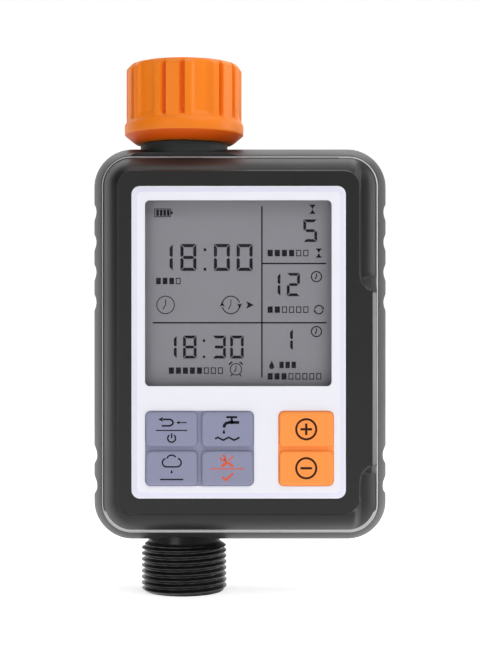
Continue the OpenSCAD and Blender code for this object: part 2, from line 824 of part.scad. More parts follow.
module upper_seat() { seat(ball_z + seat_near, ball_z + seat_far); }
module lower_seat() { seat(ball_z - seat_far, ball_z - seat_near); }

module valve_stem() {
    gear_x = layer_x[0];
    color("#b8bcc2") difference() {
        union() {
            block([ball_slot_x + 0.1, 10], [-2.5, 2.5], [ball_z - 1.2, ball_z + 1.2]);
            rod_x(9.9, box_x + 1.4, output_axis, stem_r);
            difference() {
                rod_x(box_x + 1.3, cover_x, output_axis, stem_flat_r);
                block([gear_x - 1, cover_x + 1], [stem_flat_y, 5], [ball_z - 5, ball_z + 5]);
            }
            rod_x(cover_x - 1, cover_x + plate_t, output_axis, stem_tip_r);
        }
        for (x = stem_ring_x) across_x(x, output_axis) difference() {
            cylinder(r = stem_r + 1, h = stem_ring_t);
            translate([0, 0, -1]) cylinder(r = stem_groove_r, h = 4);
        }
    }
}

module stem_o_rings() {
    color("#141414") for (x = stem_ring_x) across_x(x, output_axis) difference() {
        cylinder(r = stem_r, h = stem_ring_t);
        translate([0, 0, -1]) cylinder(r = stem_groove_r, h = 4);
    }
}

module valve_screws() {
    color("silver") for (z = lug_z) {
        rod_y(lug_x, z, lug_head[0], -lug_t / 2 - lug_head[1], -lug_t / 2);
        rod_y(lug_x, z, lug_screw_r, -lug_t / 2 - skin, lug_screw_end);
    }
}

// Gearbox

module box_outline(inset) {
    w = box_y[1] - box_y[0] - 2 * inset;
    h = box_z[0] - box_z[1] - 2 * inset;
    translate([(box_y[0] + box_y[1]) / 2, (box_z[0] + box_z[1]) / 2])
        rounded_rect(w, h, box_corner - inset);
}

module gearbox_base() {
    color("#e4e2da") {
        difference() {
            across_x(box_x, [0, 0]) linear_extrude(cover_x - box_x) box_outline(0);
            across_x(box_x + plate_t, [0, 0]) linear_extrude(20) box_outline(plate_t);
            rod_x(box_x - 1, box_x + 3, output_axis, stem_r + limit_gap);
            for (a = [first_axis, second_axis]) rod_x(box_x - 1, box_x + 3, a, shaft_r);
        }
        difference() {
            for (p = corner_posts) rod_x(box_x + plate_t - skin, cover_x, p, box_post_r);
            for (p = corner_posts) rod_x(cover_x - 6, cover_x + 1, p, box_screw_r);
        }
    }
}

module gearbox_cover() {
    color("#e4e2da") difference() {
        across_x(cover_x, [0, 0]) linear_extrude(plate_t) box_outline(0);
        rod_x(cover_x - 1, cover_x + 3, output_axis, stem_tip_r + running);
        for (a = [first_axis, second_axis]) rod_x(cover_x - 1, cover_x + 3, a, shaft_r);
        rod_x(cover_x - 1, cover_x + 3, motor_axis, motor_boss_r);
        for (p = corner_posts) rod_x(cover_x - 1, cover_x + 3, p, box_screw_r + 0.2);
    }
}

module gearbox_screws() {
    color("silver") for (p = corner_posts) {
        rod_x(cover_x - 5.5, cover_x + plate_t, p, box_screw_r);
        rod_x(cover_x + plate_t, cover_x + plate_t + box_screw_head[1], p, box_screw_head[0]);
    }
}

module wheel(layer, teeth, phase, axis, extra) {
    across_x(layer_x[layer], axis) linear_extrude(layer_t[layer] + extra) gear_outline(teeth, phase);
}

// The output gear drives the stem; its cam presses a limit switch at each end of its quarter turn
module output_gear() {
    cam_x = layer_x[2] + 0.3;
    color("#f2efe6") difference() {
        union() {
            wheel(0, output_teeth, 0, output_axis, 0);
            rod_x(layer_x[0], cam_x + cam_t, output_axis, output_hub_r);
            rod_x(cam_x, cam_x + cam_t, output_axis, cam_r);
            across_x(cam_x, output_axis) linear_extrude(cam_t) intersection() {
                circle(cam_lobe_r);
                polygon([[0, 0], [-9, -5], [-9, 5]]);
            }
        }
        difference() {
            rod_x(layer_x[0] - 1, cover_x, output_axis, stem_flat_r);
            block([layer_x[0] - 2, cover_x + 1], [stem_flat_y, 5], [ball_z - 5, ball_z + 5]);
        }
    }
}

second_pinion_phase = mesh_phase(output_teeth, 0, pinion_teeth, second_dir);
first_pinion_phase = mesh_phase(wheel_teeth, 0, pinion_teeth, first_dir);
motor_pinion_phase = mesh_phase(wheel_teeth, 0, pinion_teeth, motor_dir);

module second_gear() {
    color("#f2efe6") difference() {
        union() {
            wheel(0, pinion_teeth, second_pinion_phase, second_axis, pinion_reach);
            wheel(1, wheel_teeth, 0, second_axis, 0);
            rod_x(layer_x[1], cover_x - limit_gap, second_axis, gear_hub_r);
        }
        rod_x(box_x, cover_x + 1, second_axis, shaft_r + shaft_gap);
    }
}

module first_gear() {
    color("#f2efe6") difference() {
        union() {
            wheel(1, pinion_teeth, first_pinion_phase, first_axis, pinion_reach);
            wheel(2, wheel_teeth, 0, first_axis, 0);
            rod_x(layer_x[0] - 0.2, cover_x - limit_gap, first_axis, gear_hub_r);
        }
        rod_x(box_x, cover_x + 1, first_axis, shaft_r + shaft_gap);
    }
}

module gear_shafts() {
    color("silver") for (a = [first_axis, second_axis]) rod_x(box_x, cover_x + plate_t, a, shaft_r);
}

module motor_pinion() {
    color("#c9a24a") difference() {
        wheel(2, pinion_teeth, motor_pinion_phase, motor_axis, 0.4);
        rod_x(layer_x[2] - 1, cover_x, motor_axis, motor_shaft_r);
    }
}

module motor_shaft() {
    color("silver") rod_x(layer_x[2], cover_x + 4, motor_axis, motor_shaft_r);
}

module motor() {
    back_x = cover_x + plate_t + motor_l;
    color("#a8acb0") difference() {
        union() {
            intersection() {
                rod_x(cover_x + plate_t, back_x, motor_axis, motor_r);
                block([cover_x, back_x + 1], [motor_axis[0] - motor_r, motor_axis[0] + motor_r],
                    [motor_axis[1] - motor_flat / 2, motor_axis[1] + motor_flat / 2]);
            }
            rod_x(cover_x + 0.2, cover_x + plate_t + 1, motor_axis, motor_boss_r);
            for (side = [-1, 1]) block([back_x, back_x + terminal_l],
                [motor_axis[0] + side * terminal_dy - terminal_w / 2,
                    motor_axis[0] + side * terminal_dy + terminal_w / 2],
                [motor_axis[1] - terminal_t / 2, motor_axis[1] + terminal_t / 2]);
        }
        rod_x(cover_x - 1, cover_x + 4.6, motor_axis, motor_shaft_r + running);
    }
}

module limit_switches() {
    near = cam_lobe_r + limit_gap;
    tip_r = 0.7;
    half = 3.2;
    switch_x = [cover_x - 3.5, cover_x];
    tip_x = [cover_x - 2.5, cover_x - 1.1];
    body_near = near + 2;
    body_far = body_near + 3.6;
    color("#303030") {
        block(switch_x, [-body_far, -body_near], [ball_z - half, ball_z + half]);
        block(tip_x, [-body_near - skin, -near], [ball_z - tip_r, ball_z + tip_r]);
        block(switch_x, [-half, half], [ball_z - body_near, ball_z - body_far]);
        block(tip_x, [-tip_r, tip_r], [ball_z - near, ball_z - body_near - skin]);
    }
}

// Battery compartment

module battery_box() {
    box_back = rear_inner_y;
    box_front = cell_y - cell_r - 0.1 - cell_box_wall;
    color("#2e2f34") difference() {
        block(cell_box_x, [box_front, box_back], cell_box_z);
        block([cell_box_x[0] + cell_box_wall, cell_box_x[1] - cell_box_wall],
            [box_front + cell_box_wall, box_back + 1],
            [cell_box_z[0] - cell_box_wall, cell_box_z[1] + cell_box_wall]);
    }
}

// One cell with its button end up or down
module cell(x, up) {
    low = up ? cell_low_z + spring_l : cell_low_z;
    body_low = up ? low : low + button_h;
    translate([x, cell_y, body_low]) cylinder(r = cell_r, h = cell_l - button_h);
    translate([x, cell_y, low]) cylinder(r = button_r, h = cell_l);
}

module batteries() {
    color("#b5762c") {
        cell(cells_x[0], true);
        cell(cells_x[1], false);
    }
}

// A contact spring that stands on z and rises towards a cell
module contact_spring(x, z, turns) {
    steps = 14;
    rise = spring_l - 2 * spring_wire;
    wire([for (i = [0 : turns * steps])
        let (t = i / (turns * steps), a = 360 * i / steps, r = spring_r[0] + (spring_r[1] - spring_r[0]) * t)
        [x + r * cos(a), cell_y + r * sin(a), z + spring_wire + rise * t]], spring_wire, 6, [0, 0, 1]);
}

module battery_springs() {
    color("silver") {
        contact_spring(cells_x[0], cell_low_z, spring_turns);
        contact_spring(cells_x[1], cell_top_z - spring_l, spring_turns);
    }
}

module battery_plates() {
    low_z = cell_box_z[1] + cell_box_wall;
    top_z = cell_box_z[0] - cell_box_wall;
    front_y = cell_y - cell_r;
    color("#d0d0c8") {
        block([cells_x[0] - plate_half, cells_x[1] + plate_half], [front_y + 2, cell_y + plate_half],
            [low_z, low_z + contact_t]);
        for (x = cells_x) block([x - plate_half, x + plate_half], [front_y, cell_y + plate_half],
            [top_z - contact_t, top_z]);
    }
}

module battery_cover() {
    color("#2e2f34") difference() {
        union() {
            slab(hatch_x, hatch_z, hatch_w, hatch_h, hatch_r, hatch_floor_y + skin, rear_depth);
            slab(hatch_x, hatch_z, hatch_plug_w, hatch_plug_h, hatch_plug_r, rear_inner_y - 1,
                hatch_floor_y + 0.2);
        }
        hatch_seal(skin);
        for (i = [0 : 4]) block([hatch_x - hatch_grip_w / 2, hatch_x + hatch_grip_w / 2],
            [rear_depth - 0.5, rear_depth + 1],
            [hatch_z - 25.4 + hatch_grip_step * i, hatch_z - 24.4 + hatch_grip_step * i]);
    }
}

// Ring around the battery cover's plug: the seal, or with some extra width the groove it fills
module hatch_seal(extra) {
    difference() {
        slab(hatch_x, hatch_z, hatch_plug_w + extra, hatch_plug_h + extra, hatch_plug_r,
            hatch_seal_y[0], hatch_seal_y[1]);
        slab(hatch_x, hatch_z, hatch_plug_w - 2 * hatch_seal_w, hatch_plug_h - 2 * hatch_seal_w, 1,
            hatch_seal_y[0] - 1, hatch_seal_y[1] + 1);
    }
}

module battery_cover_seal() {
    color("#1a1a1a") hatch_seal(0);
}

module motor_leads() {
    start_x = cover_x + plate_t + motor_l + terminal_l;
    color("#c03028") for (side = [-1, 1]) {
        start = [start_x + 0.4, motor_axis[0] + side * terminal_dy, motor_axis[1] - 0.3];
        end = [41 + side, board_back_y + 3.2, -86.5];
        wire(bezier(start, start + [3, 0, -9], end + [0, 14, 0], end, 14), lead_r, 8, [1, 0.3, 0]);
    }
}

module battery_leads() {
    color("#202020") for (i = [0, 1]) {
        start = [cells_x[i], cell_y - cell_r - 1.3, cell_box_z[0] - 4];
        end = [28 + 2 * i, board_back_y + 3.2, -86.5];
        wire(bezier(start, start - [0, 6, 0], end + [0, 6, 0], end, 10), lead_r, 8, [1, 0, 0]);
    }
}

front_cover();
rear_cover();
case_seal();
case_screws();
faceplate();
display_lens();
lcd_panel();
lcd_frame();
zebra_strips();
main_board();
board_components();
board_screws();
tact_switches();
keypad_mat_left();
keypad_mat_right();
key_back();
key_tap();
key_rain();
key_tool();
key_plus();
key_minus();
plunger_back();
plunger_tap();
plunger_rain();
plunger_tool();
plunger_plus();
plunger_minus();
inlet_nut();
nut_retaining_ring();
inlet_washer();
inlet_filter();
valve_body();
outlet_spigot();
outlet_o_ring();
valve_ball();
upper_seat();
lower_seat();
valve_stem();
stem_o_rings();
valve_screws();
gearbox_base();
gearbox_cover();
gearbox_screws();
output_gear();
second_gear();
first_gear();
gear_shafts();
motor_pinion();
motor_shaft();
motor();
limit_switches();
battery_box();
batteries();
battery_springs();
battery_plates();
battery_cover();
battery_cover_seal();
motor_leads();
battery_leads();
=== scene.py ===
"""Drip irrigation timer: the visible shells, prints and materials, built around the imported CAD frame."""
import math
import bmesh
import bpy
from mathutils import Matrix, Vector


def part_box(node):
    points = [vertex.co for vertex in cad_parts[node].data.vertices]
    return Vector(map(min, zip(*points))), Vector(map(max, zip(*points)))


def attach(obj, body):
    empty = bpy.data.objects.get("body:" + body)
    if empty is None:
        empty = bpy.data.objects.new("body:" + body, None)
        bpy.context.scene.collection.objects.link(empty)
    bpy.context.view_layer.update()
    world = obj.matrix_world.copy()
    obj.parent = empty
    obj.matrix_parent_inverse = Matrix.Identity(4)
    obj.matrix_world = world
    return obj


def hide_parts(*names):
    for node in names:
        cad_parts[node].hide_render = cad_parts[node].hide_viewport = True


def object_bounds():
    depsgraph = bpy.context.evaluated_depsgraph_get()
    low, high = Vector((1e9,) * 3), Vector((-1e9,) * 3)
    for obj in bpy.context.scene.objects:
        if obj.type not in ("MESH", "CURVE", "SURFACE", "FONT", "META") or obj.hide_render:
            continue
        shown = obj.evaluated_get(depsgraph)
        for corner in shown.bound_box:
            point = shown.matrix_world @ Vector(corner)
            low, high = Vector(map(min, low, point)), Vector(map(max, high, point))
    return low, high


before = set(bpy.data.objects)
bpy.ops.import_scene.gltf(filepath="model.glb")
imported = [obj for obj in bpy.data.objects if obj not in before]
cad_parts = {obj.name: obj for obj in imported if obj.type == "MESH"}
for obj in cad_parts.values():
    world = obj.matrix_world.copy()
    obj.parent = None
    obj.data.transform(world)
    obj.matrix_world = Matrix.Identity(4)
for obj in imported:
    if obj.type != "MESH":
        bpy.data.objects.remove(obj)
cad_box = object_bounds()

MM = 0.001
TAU = 2 * math.pi

# ---------------------------------------------------------------- places, in millimetres, from the CAD


def box_mm(node):
    low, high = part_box(node)
    return low / MM, high / MM


def centre_mm(node):
    low, high = box_mm(node)
    return (low + high) / 2


FRONT_LOW, FRONT_HIGH = box_mm("front_cover")
REAR_LOW, REAR_HIGH = box_mm("rear_cover")
PLATE_LOW, PLATE_HIGH = box_mm("faceplate")
LENS_LOW, LENS_HIGH = box_mm("display_lens")
NUT_LOW, NUT_HIGH = box_mm("inlet_nut")
OUTLET_LOW, OUTLET_HIGH = box_mm("outlet_spigot")

CASE_X = (REAR_LOW.x + REAR_HIGH.x) / 2
CASE_Z = (REAR_LOW.z + REAR_HIGH.z) / 2
CASE_HALF_W = (REAR_HIGH.x - REAR_LOW.x) / 2
CASE_HALF_H = (REAR_HIGH.z - REAR_LOW.z) / 2
RIDGE_HALF_W = (FRONT_HIGH.x - FRONT_LOW.x) / 2
RIDGE_HALF_H = CASE_HALF_H - 3.5
CASE_R = 12.0
RIDGE_R = 9.0
PLATEAU_Y = FRONT_LOW.y
SPLIT_Y = REAR_LOW.y
REAR_Y = REAR_HIGH.y
FLOOR_FRONT_Y = PLATE_HIGH.y
FLOOR_BACK_Y = PLATEAU_Y + 3.0
WINDOW = (LENS_LOW + LENS_HIGH) / 2
WINDOW_HALF_W = 27.5
WINDOW_HALF_H = 27.4

KEY_NAMES = ("back", "tap", "rain", "tool", "plus", "minus")
LEFT_KEYS = KEY_NAMES[:4]
RIGHT_KEYS = KEY_NAMES[4:]

# ---------------------------------------------------------------- materials


def srgb(r, g, b):
    """A 0-255 display colour as linear values with alpha."""
    def linear(v):
        v /= 255
        return v / 12.92 if v <= 0.04045 else ((v + 0.055) / 1.055) ** 2.4
    return (linear(r), linear(g), linear(b), 1.0)


def node_input(shader, name, value):
    shader.inputs[name].default_value = value


GRAIN_DEPTH_MM = 0.03
MOTTLE_MM = 14
GLOSS_SPREAD = 0.12


def moulded(name, colour, roughness, grain_mm=0.35, grain=0.25, mottle=0.06, metallic=0.0,
            specular=0.5, sheen=0.0):
    """Moulded surface: a fine grain in the bump and slow, faint changes of tone and gloss."""
    material = bpy.data.materials.new(name)
    material.use_nodes = True
    nodes, links = material.node_tree.nodes, material.node_tree.links
    shader = nodes["Principled BSDF"]
    node_input(shader, "Metallic", metallic)
    node_input(shader, "Specular IOR Level", specular)
    if sheen:
        node_input(shader, "Sheen Weight", sheen)
    place = nodes.new("ShaderNodeTexCoord")

    fine = nodes.new("ShaderNodeTexNoise")
    fine.inputs["Scale"].default_value = 1 / (grain_mm * MM)
    fine.inputs["Detail"].default_value = 3
    links.new(place.outputs["Object"], fine.inputs["Vector"])
    bump = nodes.new("ShaderNodeBump")
    bump.inputs["Strength"].default_value = grain
    bump.inputs["Distance"].default_value = GRAIN_DEPTH_MM * MM
    links.new(fine.outputs["Fac"], bump.inputs["Height"])
    links.new(bump.outputs["Normal"], shader.inputs["Normal"])

    slow = nodes.new("ShaderNodeTexNoise")
    slow.inputs["Scale"].default_value = 1 / (MOTTLE_MM * MM)
    slow.inputs["Detail"].default_value = 4
    links.new(place.outputs["Object"], slow.inputs["Vector"])
    tone = nodes.new("ShaderNodeMix")
    tone.data_type = "RGBA"
    dark = [c * (1 - mottle) for c in colour[:3]] + [1]
    light = [min(1, c * (1 + mottle)) for c in colour[:3]] + [1]
    tone.inputs["A"].default_value = dark
    tone.inputs["B"].default_value = light
    links.new(slow.outputs["Fac"], tone.inputs["Factor"])
    links.new(tone.outputs["Result"], shader.inputs["Base Color"])
    gloss = nodes.new("ShaderNodeMapRange")
    gloss.inputs["To Min"].default_value = roughness * (1 - GLOSS_SPREAD)
    gloss.inputs["To Max"].default_value = min(1, roughness * (1 + GLOSS_SPREAD))
    links.new(slow.outputs["Fac"], gloss.inputs["Value"])
    links.new(gloss.outputs["Result"], shader.inputs["Roughness"])
    return material


def clear_plastic(name):
    """Thin clear window: mostly see-through, with a faint cool tint and a crisp surface shine."""
    material = moulded(name, srgb(140, 144, 150), 0.06, grain_mm=4, grain=0.02, mottle=0.02)
    node_input(material.node_tree.nodes["Principled BSDF"], "Alpha", 0.025)
    return material


COVER = moulded("cover_grain", srgb(22, 22, 23), 0.44, grain_mm=0.28, grain=0.35, mottle=0.08,
                specular=0.4)
# Painted highlight: a light grey copy of the cover's plastic for the ridge bead, standing in for the light the
# narrow edge catches
COVER_RIDGE_HIGHLIGHT = moulded("cover_ridge_painted_highlight", srgb(162, 162, 164), 0.28, grain_mm=0.28, grain=0.2)
# Painted highlight: a mid grey copy of the cover's plastic for the pad's chamfer, standing in for the light it
# catches from the side
COVER_CHAMFER_HIGHLIGHT = moulded("cover_chamfer_painted_highlight", srgb(84, 84, 86), 0.32, grain_mm=0.28, grain=0.2)
COVER_BACK = moulded("rear_cover_grain", srgb(36, 36, 37), 0.42, grain_mm=0.28, grain=0.4, mottle=0.08)
WHITE = moulded("faceplate_white", srgb(232, 232, 240), 0.34, grain_mm=0.6, grain=0.06, mottle=0.01)
# Painted shade: a darker, bluish copy of the white plastic for the bevel, standing in for the shade on its
# outward slope
WHITE_BEVEL_SHADE = moulded("faceplate_bevel_painted_shade", srgb(221, 221, 238), 0.3, grain_mm=0.6, grain=0.06, mottle=0.01)
LENS = clear_plastic("display_window")
LCD = moulded("lcd_grey", srgb(131, 130, 136), 0.55, grain_mm=0.25, grain=0.04, mottle=0.015)
SEGMENT = moulded("lcd_segment", srgb(10, 9, 16), 0.7, grain_mm=3, grain=0.01, mottle=0.03, specular=0.1)
LILAC = moulded("lilac_silicone", srgb(135, 137, 163), 0.62, grain_mm=0.22, grain=0.3, mottle=0.03,
                sheen=0.1)
ORANGE_SOFT = moulded("orange_silicone", srgb(250, 146, 58), 0.6, grain_mm=0.22, grain=0.3, mottle=0.03,
                      sheen=0.1)
INK = moulded("key_ink", srgb(8, 8, 16), 0.6, grain_mm=0.2, grain=0.1, mottle=0.05, specular=0.2)
INK_RED = moulded("key_ink_red", srgb(214, 82, 44), 0.6, grain_mm=0.2, grain=0.1, mottle=0.05)
INK_BROWN = moulded("key_ink_brown", srgb(46, 12, 2), 0.6, grain_mm=0.2, grain=0.1, mottle=0.05,
                    specular=0.2)
# Painted shade: a darker, redder copy of the nut's orange for the groove floors and the foot's chamfer,
# standing in for the shade in them
ORANGE_PAINTED_SHADE = moulded("nut_orange_painted_shade", srgb(216, 84, 0), 0.5, grain_mm=0.5, grain=0.15, mottle=0.04,
                      specular=0.3)
ORANGE = moulded("nut_orange", srgb(238, 125, 16), 0.44, grain_mm=0.5, grain=0.15, mottle=0.04,
                 specular=0.3)
BLACK = moulded("pipe_black", srgb(26, 26, 28), 0.3, grain_mm=0.4, grain=0.15, mottle=0.06)
BODY_BLACK = moulded("valve_body_black", srgb(44, 48, 48), 0.6, grain_mm=0.3, grain=0.3, mottle=0.05,
                     specular=0.3)
NATURAL = moulded("acetal_natural", srgb(228, 226, 218), 0.45, grain_mm=0.5, grain=0.1, mottle=0.03)
RUBBER = moulded("seal_rubber", srgb(24, 24, 24), 0.75, grain_mm=0.2, grain=0.3, mottle=0.06)
STEEL = moulded("plated_steel", srgb(192, 194, 198), 0.28, grain_mm=0.3, grain=0.1, mottle=0.04, metallic=1)
CHROME = moulded("ball_chrome", srgb(216, 218, 222), 0.08, grain_mm=2, grain=0.03, mottle=0.02, metallic=1)
MESH = moulded("filter_mesh", srgb(170, 170, 172), 0.4, grain_mm=0.5, grain=0.9, mottle=0.1, metallic=1)
BRASS = moulded("pinion_brass", srgb(201, 162, 74), 0.3, grain_mm=0.4, grain=0.1, mottle=0.04, metallic=1)
BOARD = moulded("board_green", srgb(28, 96, 54), 0.35, grain_mm=0.8, grain=0.2, mottle=0.1)
CELL = moulded("cell_sleeve", srgb(150, 110, 50), 0.3, grain_mm=1.2, grain=0.05, mottle=0.08, metallic=0.6)
RED_WIRE = moulded("lead_red", srgb(170, 40, 34), 0.5, grain_mm=0.4, grain=0.1)
BLACK_WIRE = moulded("lead_black", srgb(30, 30, 30), 0.5, grain_mm=0.4, grain=0.1)

# ---------------------------------------------------------------- mesh tools

SAME_POINT = 1e-7


def linked_mesh(name, points, faces, material):
    """A mesh object in the scene, from points in millimetres."""
    mesh = bpy.data.meshes.new(name)
    mesh.from_pydata([Vector(p) * MM for p in points], [], faces)
    mesh.materials.append(material)
    thing = bpy.data.objects.new(name, mesh)
    bpy.context.scene.collection.objects.link(thing)
    return thing


def make_piece(name, points, faces, material, body="casing", slot=None, replaces=(), sharp_deg=35):
    """A tidied mesh with its body and the nodes it replaces; scratch when body is None. The slot is not used.
    """
    piece = linked_mesh(name, points, faces, material)
    tidy_mesh(piece.data, sharp_deg)
    if body:
        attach(piece, body)
    if replaces:
        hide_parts(*replaces)
    return piece


def tidy_mesh(mesh, sharp_deg):
    """Joins doubled points, turns every face outwards and sets the shading."""
    work = bmesh.new()
    work.from_mesh(mesh)
    bmesh.ops.remove_doubles(work, verts=work.verts, dist=SAME_POINT)
    bmesh.ops.recalc_face_normals(work, faces=work.faces)
    work.to_mesh(mesh)
    work.free()
    shade(mesh, sharp_deg)


def shade(mesh, sharp_deg):
    """Smooth shading that breaks at edges sharper than an angle."""
    for face in mesh.polygons:
        face.use_smooth = True
    mesh.set_sharp_from_angle(angle=math.radians(sharp_deg))


def loops_mesh(loops, closed_run=False):
    """A skin over equal loops: capped at both ends, or joined end to start when the run is closed."""
    count = len(loops[0])
    points = [p for loop in loops for p in loop]
    faces = []
    runs = len(loops) if closed_run else len(loops) - 1
    for i in range(runs):
        here, there = i * count, (i + 1) % len(loops) * count
        for k in range(count):
            n = (k + 1) % count
            faces.append((here + k, here + n, there + n, there + k))
    if not closed_run:
        faces.append(tuple(range(count)))
        faces.append(tuple(range((len(loops) - 1) * count, len(loops) * count)))
    return points, faces


def rounded_outline(half_w, half_h, radius, side_w=8, side_h=8, corner=8):
    """Points (x, z) around a rounded rectangle, from the lower end of its right side, upwards."""
    points = []
    w, h = half_w - radius, half_h - radius
    corners = ((w, h, 0), (-w, h, 90), (-w, -h, 180), (w, -h, 270))
    starts = ((half_w, -h), (w, half_h), (-half_w, h), (-w, -half_h))
    ends = ((half_w, h), (-w, half_h), (-half_w, -h), (w, -half_h))
    for side in range(4):
        steps = side_h if side % 2 == 0 else side_w
        for i in range(steps):
            t = i / steps
            points.append((starts[side][0] + (ends[side][0] - starts[side][0]) * t,
                           starts[side][1] + (ends[side][1] - starts[side][1]) * t))
        cx, cz, start = corners[side]
        for i in range(corner):
            a = math.radians(start + 90 * i / corner)
            points.append((cx + radius * math.cos(a), cz + radius * math.sin(a)))
    return points


def at_depth(outline, x, z, y):
    return [(x + u, y, z + v) for u, v in outline]


def slab(name, x, z, half_w, half_h, radius, y0, y1, material, **options):
    """An upright rounded plate; a scratch cutter when body is None."""
    outline = rounded_outline(half_w, half_h, radius)
    points, faces = loops_mesh([at_depth(outline, x, z, y0), at_depth(outline, x, z, y1)])
    return make_piece(name, points, faces, material, **options)


def pipe_cutter(name, radius, low, high, steps=96):
    """A scratch cylinder along the pipe's axis."""
    loops = []
    for i in range(steps):
        c, s = math.cos(TAU * i / steps), math.sin(TAU * i / steps)
        loops.append([(r * c, r * s, z) for r, z in ((0, low), (radius, low), (radius, high), (0, high))])
    return make_piece(name, *loops_mesh(loops, closed_run=True), COVER_BACK, body=None)


def rod(name, spot, radius, y0, y1, steps=40):
    """A scratch cylinder along Y at an (x, z) spot."""
    outline = [(radius * math.cos(TAU * i / steps), radius * math.sin(TAU * i / steps)) for i in range(steps)]
    points, faces = loops_mesh([at_depth(outline, *spot, y0), at_depth(outline, *spot, y1)])
    return make_piece(name, points, faces, COVER_BACK, body=None)


def combine(piece, tool, operation):
    """Cuts or joins a scratch solid into a piece, and removes the scratch solid."""
    step = piece.modifiers.new("combine", "BOOLEAN")
    step.operation = operation
    step.object = tool
    step.solver = "EXACT"
    bpy.context.view_layer.objects.active = piece
    bpy.ops.object.modifier_apply(modifier=step.name)
    mesh = tool.data
    bpy.data.objects.remove(tool)
    bpy.data.meshes.remove(mesh)


def cut(piece, *tools):
    for tool in tools:
        combine(piece, tool, "DIFFERENCE")


def join(piece, *tools):
    for tool in tools:
        combine(piece, tool, "UNION")


# ---------------------------------------------------------------- small maths


def clamp(v, low=0.0, high=1.0):
    return max(low, min(high, v))


def soft_min(a, b, k):
    """The smaller of two values, rounded over where they come within k of each other."""
    h = clamp(0.5 + 0.5 * (b - a) / k)
    return b * (1 - h) + a * h - k * h * (1 - h)


def soft_max(a, b, k):
    return -soft_min(-a, -b, k)


def smooth_step(t):
    t = clamp(t)
    return t * t * (3 - 2 * t)


def rect_distance(x, z, half_w, half_h, radius):
    """Signed distance from a rounded rectangle's edge, negative inside."""
    qx, qz = abs(x) - half_w + radius, abs(z) - half_h + radius
    outside = math.hypot(max(qx, 0), max(qz, 0))
    return outside + min(max(qx, qz), 0) - radius


# ---------------------------------------------------------------- front shell

# Shoulder from the ridge up to the plateau: height at the ridge, rise and run
SHOULDER_LOW, SHOULDER_RISE, SHOULDER_RUN = 17.2, 7.2, 5.6
# Hollow down the right side: how much it lowers the shoulder, where it starts across, and its run
SCOOP_DROP, SCOOP_START, SCOOP_RUN = 3.7, 33.6, 2.6
RIDGE_FILLET, RIDGE_RISE = 1.0, 0.75
RIDGE_STEPS = 6
RIDGE_ANGLE = math.radians(62)
PLATEAU_SHIFT = (0.4, -0.7)
PLATEAU_SHAPE = (35.7, 50.7, 4.6)
PLATEAU_WALL = 8.0
# Pad that carries the plateau out to the right, between two ramps
PAD_INNER, PAD_OUT, PAD_CORNER = 25, 39.1, 6.0
PAD_TOP, PAD_BOTTOM = 15.6, -35.4
RAMP_TOP_SLOPE, RAMP_BOTTOM_SLOPE, RAMP_BLEND = 1.1, 1.7, 0.8
PAD_CHAMFER, CHAMFER_SLOPE, PAD_WALL = 1.5, 1.1, 9
BLEND = 0.6
FRONT_COUNTS = {"side_w": 70, "side_h": 190, "corner": 22}
RING_STEPS = 40
WINDOW_GAP = 0.7
PLATE_GAP, RECESS_R = 0.1, 2.6
# The painted highlight along the ridge widens below and on the right: from where, and by how many rings
BOTTOM_HIGHLIGHT_BAND, RIGHT_HIGHLIGHT_BAND = (-50, 3), (30, 1)
KEY_GAP = 0.35


def front_height(x, z):
    """How far the front stands out at a point, with x and z from the case's centre."""
    inward = -rect_distance(x, z, RIDGE_HALF_W, RIDGE_HALF_H, RIDGE_R)
    up = clamp((inward - RIDGE_FILLET * 0.6) / SHOULDER_RUN)
    rise = SHOULDER_RISE - SCOOP_DROP * smooth_step((x - SCOOP_START) / SCOOP_RUN)
    shoulder = SHOULDER_LOW + rise * (1 - (1 - up) ** 2)
    edge = rect_distance(x + PLATEAU_SHIFT[0], z + PLATEAU_SHIFT[1], *PLATEAU_SHAPE)
    drop = PLATEAU_WALL * edge
    if x > PAD_INNER:
        past_pad = max(z - PAD_TOP, PAD_BOTTOM - z)
        slope = RAMP_TOP_SLOPE if z > 0 else RAMP_BOTTOM_SLOPE
        wall = PLATEAU_WALL * soft_min(edge, past_pad, PAD_CORNER)
        drop = soft_min(wall, slope * max(past_pad, 0), RAMP_BLEND)
    beyond = max(0, x - PAD_OUT)
    chamfer = CHAMFER_SLOPE * min(beyond, PAD_CHAMFER) + PAD_WALL * max(0, beyond - PAD_CHAMFER)
    raised = soft_min(-PLATEAU_Y, -PLATEAU_Y - drop, BLEND) - chamfer
    return soft_max(shoulder, raised, BLEND)


def ridge_outline(inset, radius):
    return rounded_outline(RIDGE_HALF_W - inset, RIDGE_HALF_H - inset, radius, **FRONT_COUNTS)


